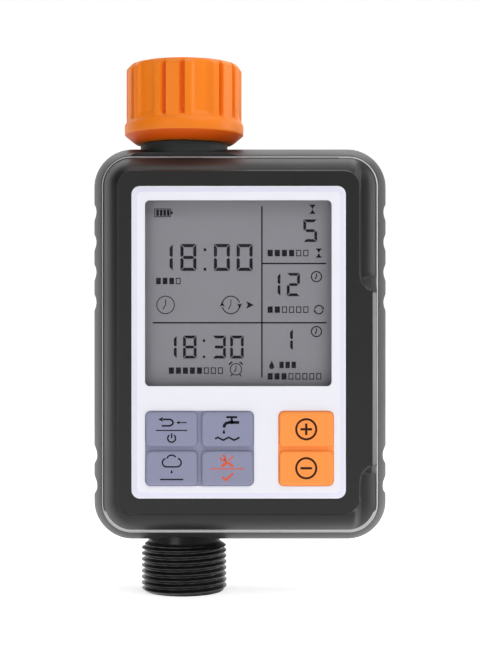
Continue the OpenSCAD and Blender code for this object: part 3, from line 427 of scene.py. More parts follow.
def front_loops():
    """Loops from the inside of the front cover, round its ridge and over its face to the faceplate."""
    plate = centre_mm("faceplate")
    plate_half_w = (PLATE_HIGH.x - PLATE_LOW.x) / 2 + PLATE_GAP
    plate_half_h = (PLATE_HIGH.z - PLATE_LOW.z) / 2 + PLATE_GAP
    recess = [(u + plate.x - CASE_X, v + plate.z - CASE_Z)
              for u, v in rounded_outline(plate_half_w, plate_half_h, RECESS_R, **FRONT_COUNTS)]
    hollow = ((6.5, 4, FLOOR_BACK_Y), (6.5, 4, SPLIT_Y - 5.5), (4.5, 5, SPLIT_Y - 5.5), (4.5, 5, SPLIT_Y - 2),
              (2.2, 6.8, SPLIT_Y - 2), (2.2, 6.8, SPLIT_Y), (0, RIDGE_R, SPLIT_Y))
    loops = [at_depth(ridge_outline(inset, radius), CASE_X, CASE_Z, y) for inset, radius, y in hollow]
    for i in range(RIDGE_STEPS + 1):
        a = RIDGE_ANGLE * i / RIDGE_STEPS
        inset = RIDGE_FILLET * (1 - math.cos(a))
        y = -(SHOULDER_LOW - RIDGE_RISE) - RIDGE_FILLET * math.sin(a)
        start = ridge_outline(inset, RIDGE_R - inset)
        loops.append(at_depth(start, CASE_X, CASE_Z, y))
    for i in range(1, RING_STEPS + 1):
        t = i / RING_STEPS
        loop = []
        for (su, sv), (ru, rv) in zip(start, recess):
            u, v = su + (ru - su) * t, sv + (rv - sv) * t
            loop.append((CASE_X + u, -front_height(u, v), CASE_Z + v))
        loops.append(loop)
    loops.append([(x, FLOOR_FRONT_Y, z) for x, y, z in loops[-1]])
    return loops


def front_shell():
    """Front cover with its ridge, shoulders, side scoops and pad, cut for the window and both key groups."""
    loops = front_loops()
    shell = make_piece("front_shell", *loops_mesh(loops), COVER, slot="cover_plastic",
                       replaces=["front_cover"], sharp_deg=40)
    shell.data.materials.append(COVER_RIDGE_HIGHLIGHT)
    shell.data.materials.append(COVER_CHAMFER_HIGHLIGHT)
    # Painted highlight: rings of the ridge bead, with more of them below and on the right, get the light grey
    # ridge material in place of the light the edge catches
    first_ridge_ring = 7
    for index, face in enumerate(shell.data.polygons):
        ring, spot = index // len(loops[0]), face.center / MM
        u, v = spot.x - CASE_X, spot.z - CASE_Z
        extra_rings = BOTTOM_HIGHLIGHT_BAND[1] if v < BOTTOM_HIGHLIGHT_BAND[0] else RIGHT_HIGHLIGHT_BAND[1] if u > RIGHT_HIGHLIGHT_BAND[0] else 0
        ridge_highlight = first_ridge_ring <= ring < first_ridge_ring - 1 + RIDGE_STEPS + extra_rings
        # Painted highlight: faces of the pad's chamfer get the mid grey chamfer material in place of the light
        # they catch from the side
        pad_chamfer_highlight = u > PAD_OUT and PAD_BOTTOM < v < PAD_TOP and ring >= first_ridge_ring
        face.material_index = 1 if ridge_highlight else 2 if pad_chamfer_highlight else 0
    cut(shell, slab("cut_window", WINDOW.x, WINDOW.z, WINDOW_HALF_W + WINDOW_GAP, WINDOW_HALF_H + WINDOW_GAP, 2,
                    FLOOR_FRONT_Y - 1, FLOOR_BACK_Y + 1, COVER, body=None))
    for name, keys in (("left", LEFT_KEYS), ("right", RIGHT_KEYS)):
        cut(shell, cluster_cutter("cut_keys_" + name, keys, FLOOR_FRONT_Y - 1, FLOOR_BACK_Y + 1, COVER))
    shade(shell.data, 40)


def cluster_box(keys):
    """Centre and half sizes of a group of keys."""
    boxes = [box_mm("key_" + name) for name in keys]
    low_x, high_x = min(b[0].x for b in boxes), max(b[1].x for b in boxes)
    low_z, high_z = min(b[0].z for b in boxes), max(b[1].z for b in boxes)
    return (low_x + high_x) / 2, (low_z + high_z) / 2, (high_x - low_x) / 2, (high_z - low_z) / 2


def cluster_cutter(name, keys, y0, y1, material):
    x, z, half_w, half_h = cluster_box(keys)
    return slab(name, x, z, half_w + KEY_GAP, half_h + KEY_GAP, KEY_R + KEY_GAP, y0, y1, material, body=None)


# ---------------------------------------------------------------- rear shell

# Grip notches, as (heights from the case's centre, radius, how far the arc's centre lies outside)
NOTCHES = (([40.4 - 9.2 * i for i in range(4)], 3.4, 2.3), ([-33.8, -43.1], 3.5, 2.1))
NOTCH_REACH, NOTCH_SOFT = 0.6, 0.5
LAND_HALF_W, LAND_INSET, LAND_FADE = 18.0, 1.9, 6
FLARE, FLARE_RUN, FLARE_STEPS = 3.0, 10.0, 12
BACK_FILLET, BACK_STEPS = 3.4, 10
POST_SPOT = (33.5, 48.5)
POST_R, SCREW_WELL_R, SCREW_HOLE_R, SCREW_SEAT_Y = 4.2, 2.9, 1.65, -4
HATCH_GAP = 0.3
HATCH_R, HATCH_SEAT, OPENING_R, OPENING_INSET = 3, 1.2, 2, (3.5, 2.9)
# Pipe holes, as radius, low and high
COLLAR_HOLE, NECK_HOLE = (13.55, -36, -20), (11.15, -150, -138)


def notch_depth(z):
    """Depth of the side grip at a height from the case's centre."""
    depth = 0.0
    for centres, radius, out in NOTCHES:
        for centre in centres:
            across = abs(z - centre)
            if across < radius:
                depth = max(depth, math.sqrt(radius * radius - across * across) - out)
    return depth


def rear_loop(inset, radius, y):
    """Outline of the rear cover at a depth, with its grip notches and the raised rim by the collar."""
    loop = []
    for u, v in rounded_outline(CASE_HALF_W - inset, CASE_HALF_H - inset, radius,
                                side_w=70, side_h=300, corner=20):
        limit = CASE_HALF_W - notch_depth(v)
        if abs(u) > limit - NOTCH_REACH:
            u = math.copysign(soft_min(abs(u), limit, NOTCH_SOFT), u)
        if v > CASE_HALF_H - inset - 0.01:
            on_land = smooth_step((LAND_HALF_W - abs(CASE_X + u)) / LAND_FADE)
            v += max(0, inset + LAND_INSET * y / -SPLIT_Y) * on_land
        loop.append((CASE_X + u, y, CASE_Z + v))
    return loop


def rear_shell():
    """Rear cover, hollowed out, with its screw posts, battery opening and pipe holes."""
    loops = []
    for i in range(FLARE_STEPS + 1):
        t = i / FLARE_STEPS
        inset = FLARE * (1 - t) ** 2
        loops.append(rear_loop(inset, CASE_R - inset * 0.85, SPLIT_Y + FLARE_RUN * t))
    for y in (0.0, 6.0, 12.0):
        loops.append(rear_loop(0, CASE_R, y))
    for i in range(BACK_STEPS + 1):
        a = math.radians(90) * i / BACK_STEPS
        inset = BACK_FILLET * (1 - math.cos(a))
        loops.append(rear_loop(inset, CASE_R - inset, REAR_Y - BACK_FILLET * (1 - math.sin(a))))
    shell = make_piece("rear_shell", *loops_mesh(loops), COVER_BACK, slot="cover_plastic",
                       replaces=["rear_cover"], sharp_deg=32)

    hollow = ((5.9, 7, SPLIT_Y - 1), (5.9, 7, SPLIT_Y + 5), (2.7, 9.5, SPLIT_Y + 5), (2.7, 9.5, 14),
              (4.5, 8, 14), (4.5, 8, REAR_Y - 2.2))
    outlines = [at_depth(rounded_outline(CASE_HALF_W - i, CASE_HALF_H - i, r), CASE_X, CASE_Z, y)
                for i, r, y in hollow]
    cut(shell, make_piece("cut_cavity", *loops_mesh(outlines), COVER_BACK, body=None))
    for sx in (-1, 1):
        for sz in (-1, 1):
            spot = (CASE_X + sx * POST_SPOT[0], CASE_Z + sz * POST_SPOT[1])
            join(shell, rod("post", spot, POST_R, SPLIT_Y, REAR_Y - 1.5))
            cut(shell, rod("well", spot, SCREW_WELL_R, SCREW_SEAT_Y, REAR_Y + 1),
                rod("bore", spot, SCREW_HOLE_R, SPLIT_Y - 1, 0))
    low, high = box_mm("battery_cover")
    hatch = (low + high) / 2
    half_w, half_h = (high.x - low.x) / 2 + HATCH_GAP, (high.z - low.z) / 2 + HATCH_GAP
    cut(shell, slab("cut_hatch", hatch.x, hatch.z, half_w, half_h, HATCH_R, REAR_Y - HATCH_SEAT, REAR_Y + 1,
                    COVER_BACK, body=None),
        slab("cut_opening", hatch.x, hatch.z, half_w - OPENING_INSET[0], half_h - OPENING_INSET[1], OPENING_R,
             REAR_Y - 4, REAR_Y, COVER_BACK, body=None),
        pipe_cutter("cut_collar", *COLLAR_HOLE), pipe_cutter("cut_neck", *NECK_HOLE))
    shade(shell.data, 32)


# ---------------------------------------------------------------- faceplate, mats and keys

LENS_LIP = 1.5
KEY_R, KEY_EDGE, KEY_STEPS, KEY_STEM_R = 1.3, 0.62, 7, 1.5
# Key faces lie this far inside their boxes, so that the signs on them stay inside too
PRINT_SINK = 0.04
PRINT_LIFT, PRINT_THICK = 0.005, 0.03
MAT_MARGIN, MAT_THICK = 1.7, 0.8
WEB_MARGIN, WEB_SINK, KEY_CLEARANCE = 0.3, 0.05, 0.03


def faceplate():
    """White plate with a rounded outer edge and a sloping bevel, cut for the window and both key groups."""
    plate = centre_mm("faceplate")
    half_w = (PLATE_HIGH.x - PLATE_LOW.x) / 2
    half_h = (PLATE_HIGH.z - PLATE_LOW.z) / 2
    profile = [(0.0, PLATE_HIGH.y), (0.0, PLATE_LOW.y + 0.62), (0.06, PLATE_LOW.y + 0.48),
               (0.2, PLATE_LOW.y + 0.38), (0.42, PLATE_LOW.y + 0.32), (1.45, PLATE_LOW.y + 0.07),
               (1.75, PLATE_LOW.y + 0.015), (2.1, PLATE_LOW.y)]
    loops = [at_depth(rounded_outline(half_w - i, half_h - i, max(2.5 - 0.6 * i, 0.8), 12, 12, 14),
                      plate.x, plate.z, y) for i, y in profile]
    piece = make_piece("front_plate", *loops_mesh(loops), WHITE, slot="white_plastic",
                       replaces=["faceplate"], sharp_deg=40)
    piece.data.materials.append(WHITE_BEVEL_SHADE)
    # Painted shade: the bevel's rings take the darker bluish white in place of the shade falling on the slope
    shaded_bevel_rings = (4, 5)
    for index, face in enumerate(piece.data.polygons):
        if index // len(loops[0]) in shaded_bevel_rings:
            face.material_index = 1
    y0, y1 = PLATE_LOW.y - 1, PLATE_HIGH.y + 1
    cut(piece, slab("cut_window", WINDOW.x, WINDOW.z, WINDOW_HALF_W, WINDOW_HALF_H, 1.4, y0, y1, WHITE,
                    body=None),
        slab("cut_lens", WINDOW.x, WINDOW.z, WINDOW_HALF_W + LENS_LIP, WINDOW_HALF_H + LENS_LIP, 2,
             LENS_LOW.y, y1, WHITE, body=None),
        cluster_cutter("cut_left", LEFT_KEYS, y0, y1, WHITE),
        cluster_cutter("cut_right", RIGHT_KEYS, y0, y1, WHITE))
    shade(piece.data, 40)


def key_mat(side, keys, material, slot):
    """Silicone sheet behind the cover with a raised web that shows as the groove between the keys."""
    x, z, half_w, half_h = cluster_box(keys)
    mat = slab("mat_" + side, x, z, half_w + MAT_MARGIN, half_h + MAT_MARGIN, 2, FLOOR_BACK_Y,
               FLOOR_BACK_Y + MAT_THICK, material, slot=slot, replaces=["keypad_mat_" + side])
    web_y = PLATE_LOW.y + WEB_SINK
    join(mat, slab("web", x, z, half_w + WEB_MARGIN, half_h + WEB_MARGIN, KEY_R + WEB_MARGIN, web_y,
                   FLOOR_BACK_Y + 0.1, material, body=None))
    for name in keys:
        low, high = box_mm("key_" + name)
        spot = (low + high) / 2
        cut(mat, slab("hole", spot.x, spot.z, (high.x - low.x) / 2 + KEY_CLEARANCE,
                      (high.z - low.z) / 2 + KEY_CLEARANCE, KEY_R + 0.02, web_y - 1, FLOOR_BACK_Y + 2, material,
                      body=None))
    shade(mat.data, 40)


def key_cap(name, material, slot):
    """Silicone key with a soft rounded edge, on the stem that presses its switch."""
    low, high = box_mm("key_" + name)
    spot = (low + high) / 2
    half_w, half_h = (high.x - low.x) / 2, (high.z - low.z) / 2
    back, face = FLOOR_BACK_Y + 0.5, low.y + PRINT_SINK
    profile = [(2.5, back), (0.0, back)]
    for i in range(KEY_STEPS + 1):
        a = math.radians(90) * i / KEY_STEPS
        profile.append((KEY_EDGE * (1 - math.cos(a)), face + KEY_EDGE * (1 - math.sin(a))))
    profile.append((KEY_EDGE + 0.5, face))
    loops = []
    for inset, y in profile:
        outline = rounded_outline(half_w - inset, half_h - inset, max(KEY_R - inset * 0.7, 0.3))
        loops.append(at_depth(outline, spot.x, spot.z, y))
    cap = make_piece("cap_" + name, *loops_mesh(loops), material, body="key_" + name, slot=slot,
                     replaces=["key_" + name], sharp_deg=50)
    join(cap, rod("stem", (spot.x, spot.z), KEY_STEM_R, back - 0.3, high.y))
    shade(cap.data, 50)


# ---------------------------------------------------------------- flat prints


class Print:
    """Thin printed shapes gathered into one mesh, drawn in (u, v) from a centre, v upwards."""

    def __init__(self, u=0.0, v=0.0):
        self.polygons = []
        self.u, self.v = u, v

    def polygon(self, points):
        self.polygons.append([(self.u + u, self.v + v) for u, v in points])

    def bar(self, u0, v0, u1, v1):
        self.polygon([(u0, v0), (u1, v0), (u1, v1), (u0, v1)])

    def disc(self, u, v, r, steps=20):
        self.polygon([(u + r * math.cos(TAU * i / steps), v + r * math.sin(TAU * i / steps))
                      for i in range(steps)])

    def arc(self, u, v, r, width, start=0.0, end=360.0, steps=40):
        """A ring or part of one, as short four-sided tiles."""
        inner, outer = r - width / 2, r + width / 2
        for i in range(steps):
            a0 = math.radians(start + (end - start) * i / steps)
            a1 = math.radians(start + (end - start) * (i + 1) / steps)
            self.polygon([(u + inner * math.cos(a0), v + inner * math.sin(a0)),
                          (u + outer * math.cos(a0), v + outer * math.sin(a0)),
                          (u + outer * math.cos(a1), v + outer * math.sin(a1)),
                          (u + inner * math.cos(a1), v + inner * math.sin(a1))])

    def stroke(self, points, width):
        """A line of even width through points, mitred at each bend."""
        left, right = [], []
        for i, here in enumerate(points):
            before = Vector(points[max(i - 1, 0)])
            after = Vector(points[min(i + 1, len(points) - 1)])
            here = Vector(here)
            into = (here - before).normalized() if (here - before).length else (after - here).normalized()
            out = (after - here).normalized() if (after - here).length else into
            side = Vector((-(into + out).y, (into + out).x)).normalized()
            reach = width / 2 / max(0.35, side.dot(Vector((-into.y, into.x))))
            left.append(here + side * reach)
            right.append(here - side * reach)
        for i in range(len(points) - 1):
            self.polygon([tuple(left[i]), tuple(left[i + 1]), tuple(right[i + 1]), tuple(right[i])])

    def drop(self, u, v, size):
        """A water drop whose round end is at the bottom."""
        points = [(u, v + size * 1.5)]
        for i in range(13):
            a = math.radians(150 + 240 * i / 12)
            points.append((u + size * 0.62 * math.cos(a), v + size * 0.62 * math.sin(a)))
        self.polygon(points)

    def arrow_head(self, u, v, size, direction_deg):
        c, s = math.cos(math.radians(direction_deg)), math.sin(math.radians(direction_deg))
        tip = [(size, 0), (-size * 0.6, size * 0.75), (-size * 0.25, 0), (-size * 0.6, -size * 0.75)]
        self.polygon([(u + a * c - b * s, v + a * s + b * c) for a, b in tip])

    def piece(self, name, x, z, y, material, slot, body="casing"):
        """Gives every shape its thickness and makes one piece of them all, on a plane at y."""
        points, faces = [], []
        for polygon in self.polygons:
            first, count = len(points), len(polygon)
            points += [(x + u, y, z + v) for u, v in polygon]
            points += [(x + u, y - PRINT_THICK, z + v) for u, v in polygon]
            faces.append(tuple(range(first, first + count)))
            faces.append(tuple(range(first + 2 * count - 1, first + count - 1, -1)))
            for k in range(count):
                n = (k + 1) % count
                faces.append((first + k, first + n, first + count + n, first + count + k))
        piece = linked_mesh(name, points, faces, material)
        work = bmesh.new()
        work.from_mesh(piece.data)
        bmesh.ops.recalc_face_normals(work, faces=work.faces)
        work.to_mesh(piece.data)
        work.free()
        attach(piece, body)


SEGMENTS_ON = {"0": "abcdef", "1": "bc", "2": "abged", "3": "abgcd", "5": "afgcd", "8": "abcdefg"}
CLOCK_FIGURE, ALARM_FIGURE = (4.75, 8.0, 0.95), (4.0, 6.8, 0.84)
SIDE_FIGURE, COUNT_FIGURE, DAY_FIGURE = (4.1, 6.7, 0.84), (3.9, 6.9, 0.84), (3.9, 6.5, 0.84)


def digit(art, figure, u, v, width, height, thick):
    """One seven-segment figure; u and v are its lower left corner."""
    gap, half, t = thick * 0.16, height / 2, thick

    def across(v0, points):
        art.polygon([(u + a, v + v0 + b) for a, b in points])

    for segment in SEGMENTS_ON[figure]:
        if segment == "a":
            across(height, [(gap, 0), (width - gap, 0), (width - t - gap, -t), (t + gap, -t)])
        if segment == "d":
            across(0, [(gap, 0), (width - gap, 0), (width - t - gap, t), (t + gap, t)])
        if segment == "g":
            across(half, [(t / 2 + gap, 0), (t + gap, t / 2), (width - t - gap, t / 2),
                          (width - t / 2 - gap, 0), (width - t - gap, -t / 2), (t + gap, -t / 2)])
        if segment in "bcef":
            side = width if segment in "bc" else 0.0
            inward = -1 if segment in "bc" else 1
            up = segment in "bf"
            outer, inner = (height - gap, height - t - gap) if up else (gap, t + gap)
            middle = half + gap if up else half - gap
            step = t * 0.5 if up else -t * 0.5
            across(0, [(side, outer), (side + inward * t, inner), (side + inward * t, middle + step),
                       (side + inward * t * 0.5, middle), (side, middle + step * 0.5)])


def clock_face(art, u, v, r, width):
    art.arc(u, v, r, width)
    art.stroke([(u, v + r * 0.62), (u, v), (u - r * 0.32, v - r * 0.5)], width)


def meter(art, u0, u1, v, total, filled):
    """A level meter: the first blocks are solid and the rest are open frames."""
    pitch = (u1 - u0) / total
    width, height, line = pitch * 0.72, 1.9, 0.26
    for i in range(total):
        u = u0 + pitch * i
        if i < filled:
            art.bar(u, v - height / 2, u + width, v + height / 2)
            continue
        art.bar(u, v - height / 2, u + width, v - height / 2 + line)
        art.bar(u, v + height / 2 - line, u + width, v + height / 2)
        art.bar(u, v - height / 2 + line, u + line, v + height / 2 - line)
        art.bar(u + width - line, v - height / 2 + line, u + width, v + height / 2 - line)


def hourglass(art, u, v, h, width):
    w = h * 0.36
    art.stroke([(u - w, v + h / 2), (u + w, v + h / 2)], width)
    art.stroke([(u - w, v - h / 2), (u + w, v - h / 2)], width)
    art.polygon([(u - w * 0.75, v + h / 2), (u + w * 0.75, v + h / 2), (u, v)])
    art.polygon([(u - w * 0.75, v - h / 2), (u + w * 0.75, v - h / 2), (u, v)])


def display():
    """Figures, rules and small signs of the display, from the window's centre in millimetres."""
    art = Print()
    rule = 0.42
    art.bar(7.0 - rule / 2, -25.0, 7.0 + rule / 2, 25.9)
    art.bar(-25.4, -8.7 - rule / 2, 26.2, -8.7 + rule / 2)
    art.bar(7.0, 8.9 - rule / 2, 26.1, 8.9 + rule / 2)

    art.stroke([(-24.8, 22.8), (-20.1, 22.8), (-20.1, 25.1), (-24.8, 25.1), (-24.8, 22.6)], 0.22)
    art.bar(-20.0, 23.5, -19.5, 24.4)
    for i in range(4):
        art.bar(-24.35 + 1.05 * i, 23.05, -23.55 + 1.05 * i, 24.85)

    for figure, u in (("1", -24.2), ("8", -17.2), ("0", -7.25), ("0", -0.5)):
        digit(art, figure, u, 6.7, *CLOCK_FIGURE)
    for v in (7.2, 13.0):
        art.bar(-10.3, v - 0.42, -9.5, v + 0.42)
    for figure, u in (("1", -22.3), ("8", -16.4), ("3", -7.7), ("0", -2.4)):
        digit(art, figure, u, -19.3, *ALARM_FIGURE)
    for v in (-18.8, -14.0):
        art.bar(-10.55, v - 0.36, -9.85, v + 0.36)
    digit(art, "5", 19.3, 15.3, *SIDE_FIGURE)
    digit(art, "1", 8.6, -0.8, *COUNT_FIGURE)
    digit(art, "2", 14.4, -0.8, *COUNT_FIGURE)
    digit(art, "1", 12.3, -17.0, *DAY_FIGURE)

    clock_face(art, -21.6, -3.4, 2.6, 0.26)
    for start, end in ((15, 165), (195, 345)):
        art.arc(-2.2, -3.4, 2.6, 0.3, start, end)
    art.stroke([(-2.2, -1.8), (-2.2, -3.4), (-3.0, -4.7)], 0.24)
    art.arrow_head(-4.8, -3.3, 1.0, 90)
    art.arrow_head(0.4, -3.5, 1.0, 270)
    art.arrow_head(3.2, -3.4, 1.45, 0)
    clock_face(art, -0.7, -22.5, 1.7, 0.26)
    for side in (-1, 1):
        art.stroke([(-0.7 + side * 1.1, -20.3), (-0.7 + side * 2.1, -21.1)], 0.42)
        art.stroke([(-0.7 + side * 1.1, -23.9), (-0.7 + side * 1.6, -24.6)], 0.32)

    meter(art, -24.4, -16.6, 3.7, 4, 3)
    hourglass(art, 22.0, 25.0, 2.4, 0.34)
    meter(art, 8.7, 21.4, 12.0, 6, 4)
    hourglass(art, 23.9, 12.0, 2.4, 0.34)
    clock_face(art, 23.2, 5.0, 1.5, 0.34)
    meter(art, 8.7, 21.4, -4.8, 6, 2)
    for start, end in ((30, 170), (210, 350)):
        art.arc(23.9, -4.8, 1.25, 0.36, start, end, 16)
    art.arrow_head(25.1, -4.4, 0.6, 300)
    art.arrow_head(22.7, -5.2, 0.6, 120)
    clock_face(art, 23.2, -11.3, 1.5, 0.34)
    art.drop(9.9, -21.7, 1.2)
    meter(art, 12.2, 17.6, -21.2, 3, 3)
    meter(art, 8.7, 25.2, -24.6, 8, 3)
    meter(art, -20.6, -4.0, -22.9, 8, 5)
    glass_y = box_mm("lcd_panel")[0].y
    art.piece("display_figures", WINDOW.x, WINDOW.z, glass_y - 0.01, SEGMENT, "lcd_glass")


def key_prints():
    """Signs on the six keys, each from its key's centre in millimetres."""
    back = Print()
    back.stroke([(-4.6, -0.35), (4.6, -0.35)], 0.32)
    back.stroke([(-2.9, 1.0), (-0.5, 1.0), (0.2, 1.35), (0.45, 1.95), (0.2, 2.55), (-0.5, 2.9),
                 (-2.6, 2.9)], 0.5)
    back.arrow_head(-3.0, 2.9, 0.95, 180)
    back.stroke([(1.9, 1.95), (4.4, 1.95)], 0.3)
    back.arrow_head(2.0, 1.95, 0.7, 180)
    back.arc(0.0, -2.65, 1.15, 0.42, 125, 415)
    back.bar(-0.21, -2.6, 0.21, -1.15)

    tap = Print(0.6, 0.1)
    tap.stroke([(-0.9, 3.45), (2.3, 3.45)], 0.6)
    tap.stroke([(0.7, 3.3), (0.7, 2.0)], 0.6)
    tap.stroke([(2.9, 1.9), (-0.1, 1.9), (-0.95, 1.65), (-1.45, 1.1), (-1.6, 0.4)], 0.85)
    tap.disc(0.7, 2.0, 0.62)
    tap.drop(-1.6, -1.05, 0.62)
    tap.stroke([(-4.2, -2.9), (-3.4, -2.5), (-2.6, -2.9), (-1.8, -3.3), (-1.0, -2.9), (-0.2, -2.5), (0.6, -2.9),
                (1.4, -3.3), (2.2, -2.9), (3.0, -2.5)], 0.5)

    rain = Print(0.0, 0.3)
    outline = ((-1.45, 1.35, 1.25, 105, 268), (0.0, 2.1, 1.45, 35, 160), (1.55, 1.35, 1.25, -88, 78))
    for u, v, r, start, end in outline:
        rain.arc(u, v, r, 0.42, start, end, 20)
    rain.stroke([(-1.6, 0.1), (1.7, 0.1)], 0.42)
    rain.drop(0.0, -1.5, 0.5)
    rain.stroke([(-3.4, -3.6), (3.4, -3.6)], 0.42)

    tool = Print()
    tool.stroke([(-5.0, -0.2), (5.0, -0.2)], 0.32)
    tool.arc(-1.3, 3.05, 0.7, 0.5, 170, 460, 18)
    tool.stroke([(-0.8, 2.55), (-0.35, 2.15)], 0.6)
    tool.stroke([(0.3, 1.6), (1.7, 0.45)], 0.7)
    tool.stroke([(1.75, 3.6), (0.3, 2.15)], 0.4)
    tool.stroke([(0.05, 1.95), (-1.6, 0.5)], 0.9)
    tool.stroke([(-1.5, -2.5), (-0.4, -3.5), (1.7, -1.5)], 0.6)

    plus = Print()
    plus.arc(0, 0, 2.95, 0.62)
    plus.bar(-1.7, -0.34, 1.7, 0.34)
    plus.bar(-0.34, 0.34, 0.34, 1.7)
    plus.bar(-0.34, -1.7, 0.34, -0.34)
    minus = Print()
    minus.arc(0, 0, 2.95, 0.62)
    minus.bar(-1.7, -0.34, 1.7, 0.34)

    inks = {"back": (back, INK), "tap": (tap, INK), "rain": (rain, INK), "tool": (tool, INK_RED),
            "plus": (plus, INK_BROWN), "minus": (minus, INK_BROWN)}
    for name, (art, ink) in inks.items():
        low, high = box_mm("key_" + name)
        slot = "lilac_silicone" if name in LEFT_KEYS else "orange_silicone"
        art.piece("sign_" + name, (low.x + high.x) / 2, (low.z + high.z) / 2,
                  low.y + PRINT_SINK + PRINT_LIFT, ink, slot, body="key_" + name)


# ---------------------------------------------------------------- nut and outlet

PITCH = 1.814
CREST_R, ROOT_R = 13.22, 12.06
THREAD_FLAT = 0.17
THREAD_DEPTH = 11.9
# Grooves in each sixth of the nut, as angle, half width at the top, half width at the floor, depth
GRIP_GROOVES = ((-18.7, 2.9, 1.3, 1.15), (0.0, 2.9, 1.3, 1.15), (20.6, 11.8, 7.6, 0.8))
GRIP_TURN = 60.0
GRIP_R, RING_R, FOOT_R = 17.9, 18.5, 14.9
NUT_CHAMFER = 1.35
# Where the nut is painted darker for shade: radii of the groove floors, and the height of the foot's chamfer
GROOVE_SHADE_R, FOOT_SHADE_HEIGHT = (16.4, GRIP_R - 0.83), 2.5
NUT_STEPS, NUT_THREAD_STEPS, GRIP_STEPS = 480, 78, 24


def thread_wave(turns):
    """0 at a root and 1 at a crest, for a position in turns of the pitch."""
    phase = turns % 1.0
    edge = abs(phase * 2 - 1)
    return clamp((edge - THREAD_FLAT) / (1 - 2 * THREAD_FLAT))


def grip_depth(angle, height_in):
    """Depth of the nut's grooves at an angle in degrees from the front, positive to the right."""
    depth = 0.0
    local = (angle + GRIP_TURN / 2) % GRIP_TURN - GRIP_TURN / 2
    for centre, half_top, half_floor, deep in GRIP_GROOVES:
        across = abs(local - centre)
        across = min(across, abs(across - GRIP_TURN))
        depth = max(depth, deep * smooth_step((half_top - across) / (half_top - half_floor)))
    return depth * smooth_step(height_in)


def nut():
    """Hand nut with its grip recesses outside and a helical thread inside."""
    low, high = NUT_LOW.z, NUT_HIGH.z
    grip_low, grip_top = low + 6.7, high - NUT_CHAMFER * 1.1
    lip_top = low + 5.3
    rows = [(10.4, low, "plain"), (10.4, lip_top, "plain"), (13.3, lip_top, "plain"), (13.3, -12.2, "plain")]
    for i in range(NUT_THREAD_STEPS + 1):
        rows.append((0, -THREAD_DEPTH + THREAD_DEPTH * i / NUT_THREAD_STEPS, "thread"))
    rows.append((16.5, high, "plain"))
    for i in range(1, 6):
        t = i / 6
        rows.append((GRIP_R - NUT_CHAMFER * (1 - t), high - NUT_CHAMFER * t * 1.1, "grip"))
    for i in range(GRIP_STEPS + 1):
        rows.append((GRIP_R, grip_top - (grip_top - grip_low) * i / GRIP_STEPS, "grip"))
    ring_profile = [(GRIP_R + 0.08, low + 6.45), (GRIP_R + 0.32, low + 6.15), (RING_R - 0.12, low + 5.85),
                    (RING_R, low + 5.5), (RING_R, low + 3.1), (RING_R - 0.12, low + 2.65),
                    (FOOT_R + 1.2, low + 0.75), (FOOT_R + 0.3, low + 0.12), (FOOT_R - 0.2, low)]
    rows += [(r, z, "plain") for r, z in ring_profile]
    loops = []
    for k in range(NUT_STEPS):
        a = 360.0 * k / NUT_STEPS
        front_angle = (a + 270.0) % 360.0 - 180.0
        c, s = math.cos(math.radians(a)), math.sin(math.radians(a))
        loop = []
        for radius, z, kind in rows:
            if kind == "thread":
                depth = thread_wave(z / PITCH - a / 360.0)
                lead = smooth_step((high - z) / 1.2) * smooth_step(z + THREAD_DEPTH)
                radius = CREST_R - (CREST_R - ROOT_R) * depth * lead
            elif kind == "grip":
                groove = grip_depth(front_angle, (z - grip_low + 0.2) / 1.6)
                radius = min(radius, GRIP_R - groove)
            loop.append((radius * c, radius * s, z))
        loops.append(loop)
    piece = make_piece("hand_nut", *loops_mesh(loops, closed_run=True), ORANGE, body="nut",
                       slot="orange_plastic", replaces=["inlet_nut"], sharp_deg=50)
    piece.data.materials.append(ORANGE_PAINTED_SHADE)
    # Painted shade: faces in the grooves and on the foot's chamfer take the darker orange
    for face in piece.data.polygons:
        spot = face.center / MM
        r = spot.xy.length
        groove_shaded = grip_low + 0.6 < spot.z < high - 1.2 and GROOVE_SHADE_R[0] < r < GROOVE_SHADE_R[1]
        foot_shaded = spot.z < low + FOOT_SHADE_HEIGHT and r > FOOT_R - 0.3
        if groove_shaded or foot_shaded:
            face.material_index = 1


OUTLET_BORE_R, PLUG_R, SEAL_GROOVE_R, FLANGE_R, SPIGOT_NECK_R = 8.0, 9.95, 8.9, 12.6, 11.1
FLANGE_TOP, FLANGE_THICK, OUTLET_THREAD_TOP = -88.5, 3.5, -148.2
OUTLET_STEPS, OUTLET_THREAD_STEPS = 240, 150


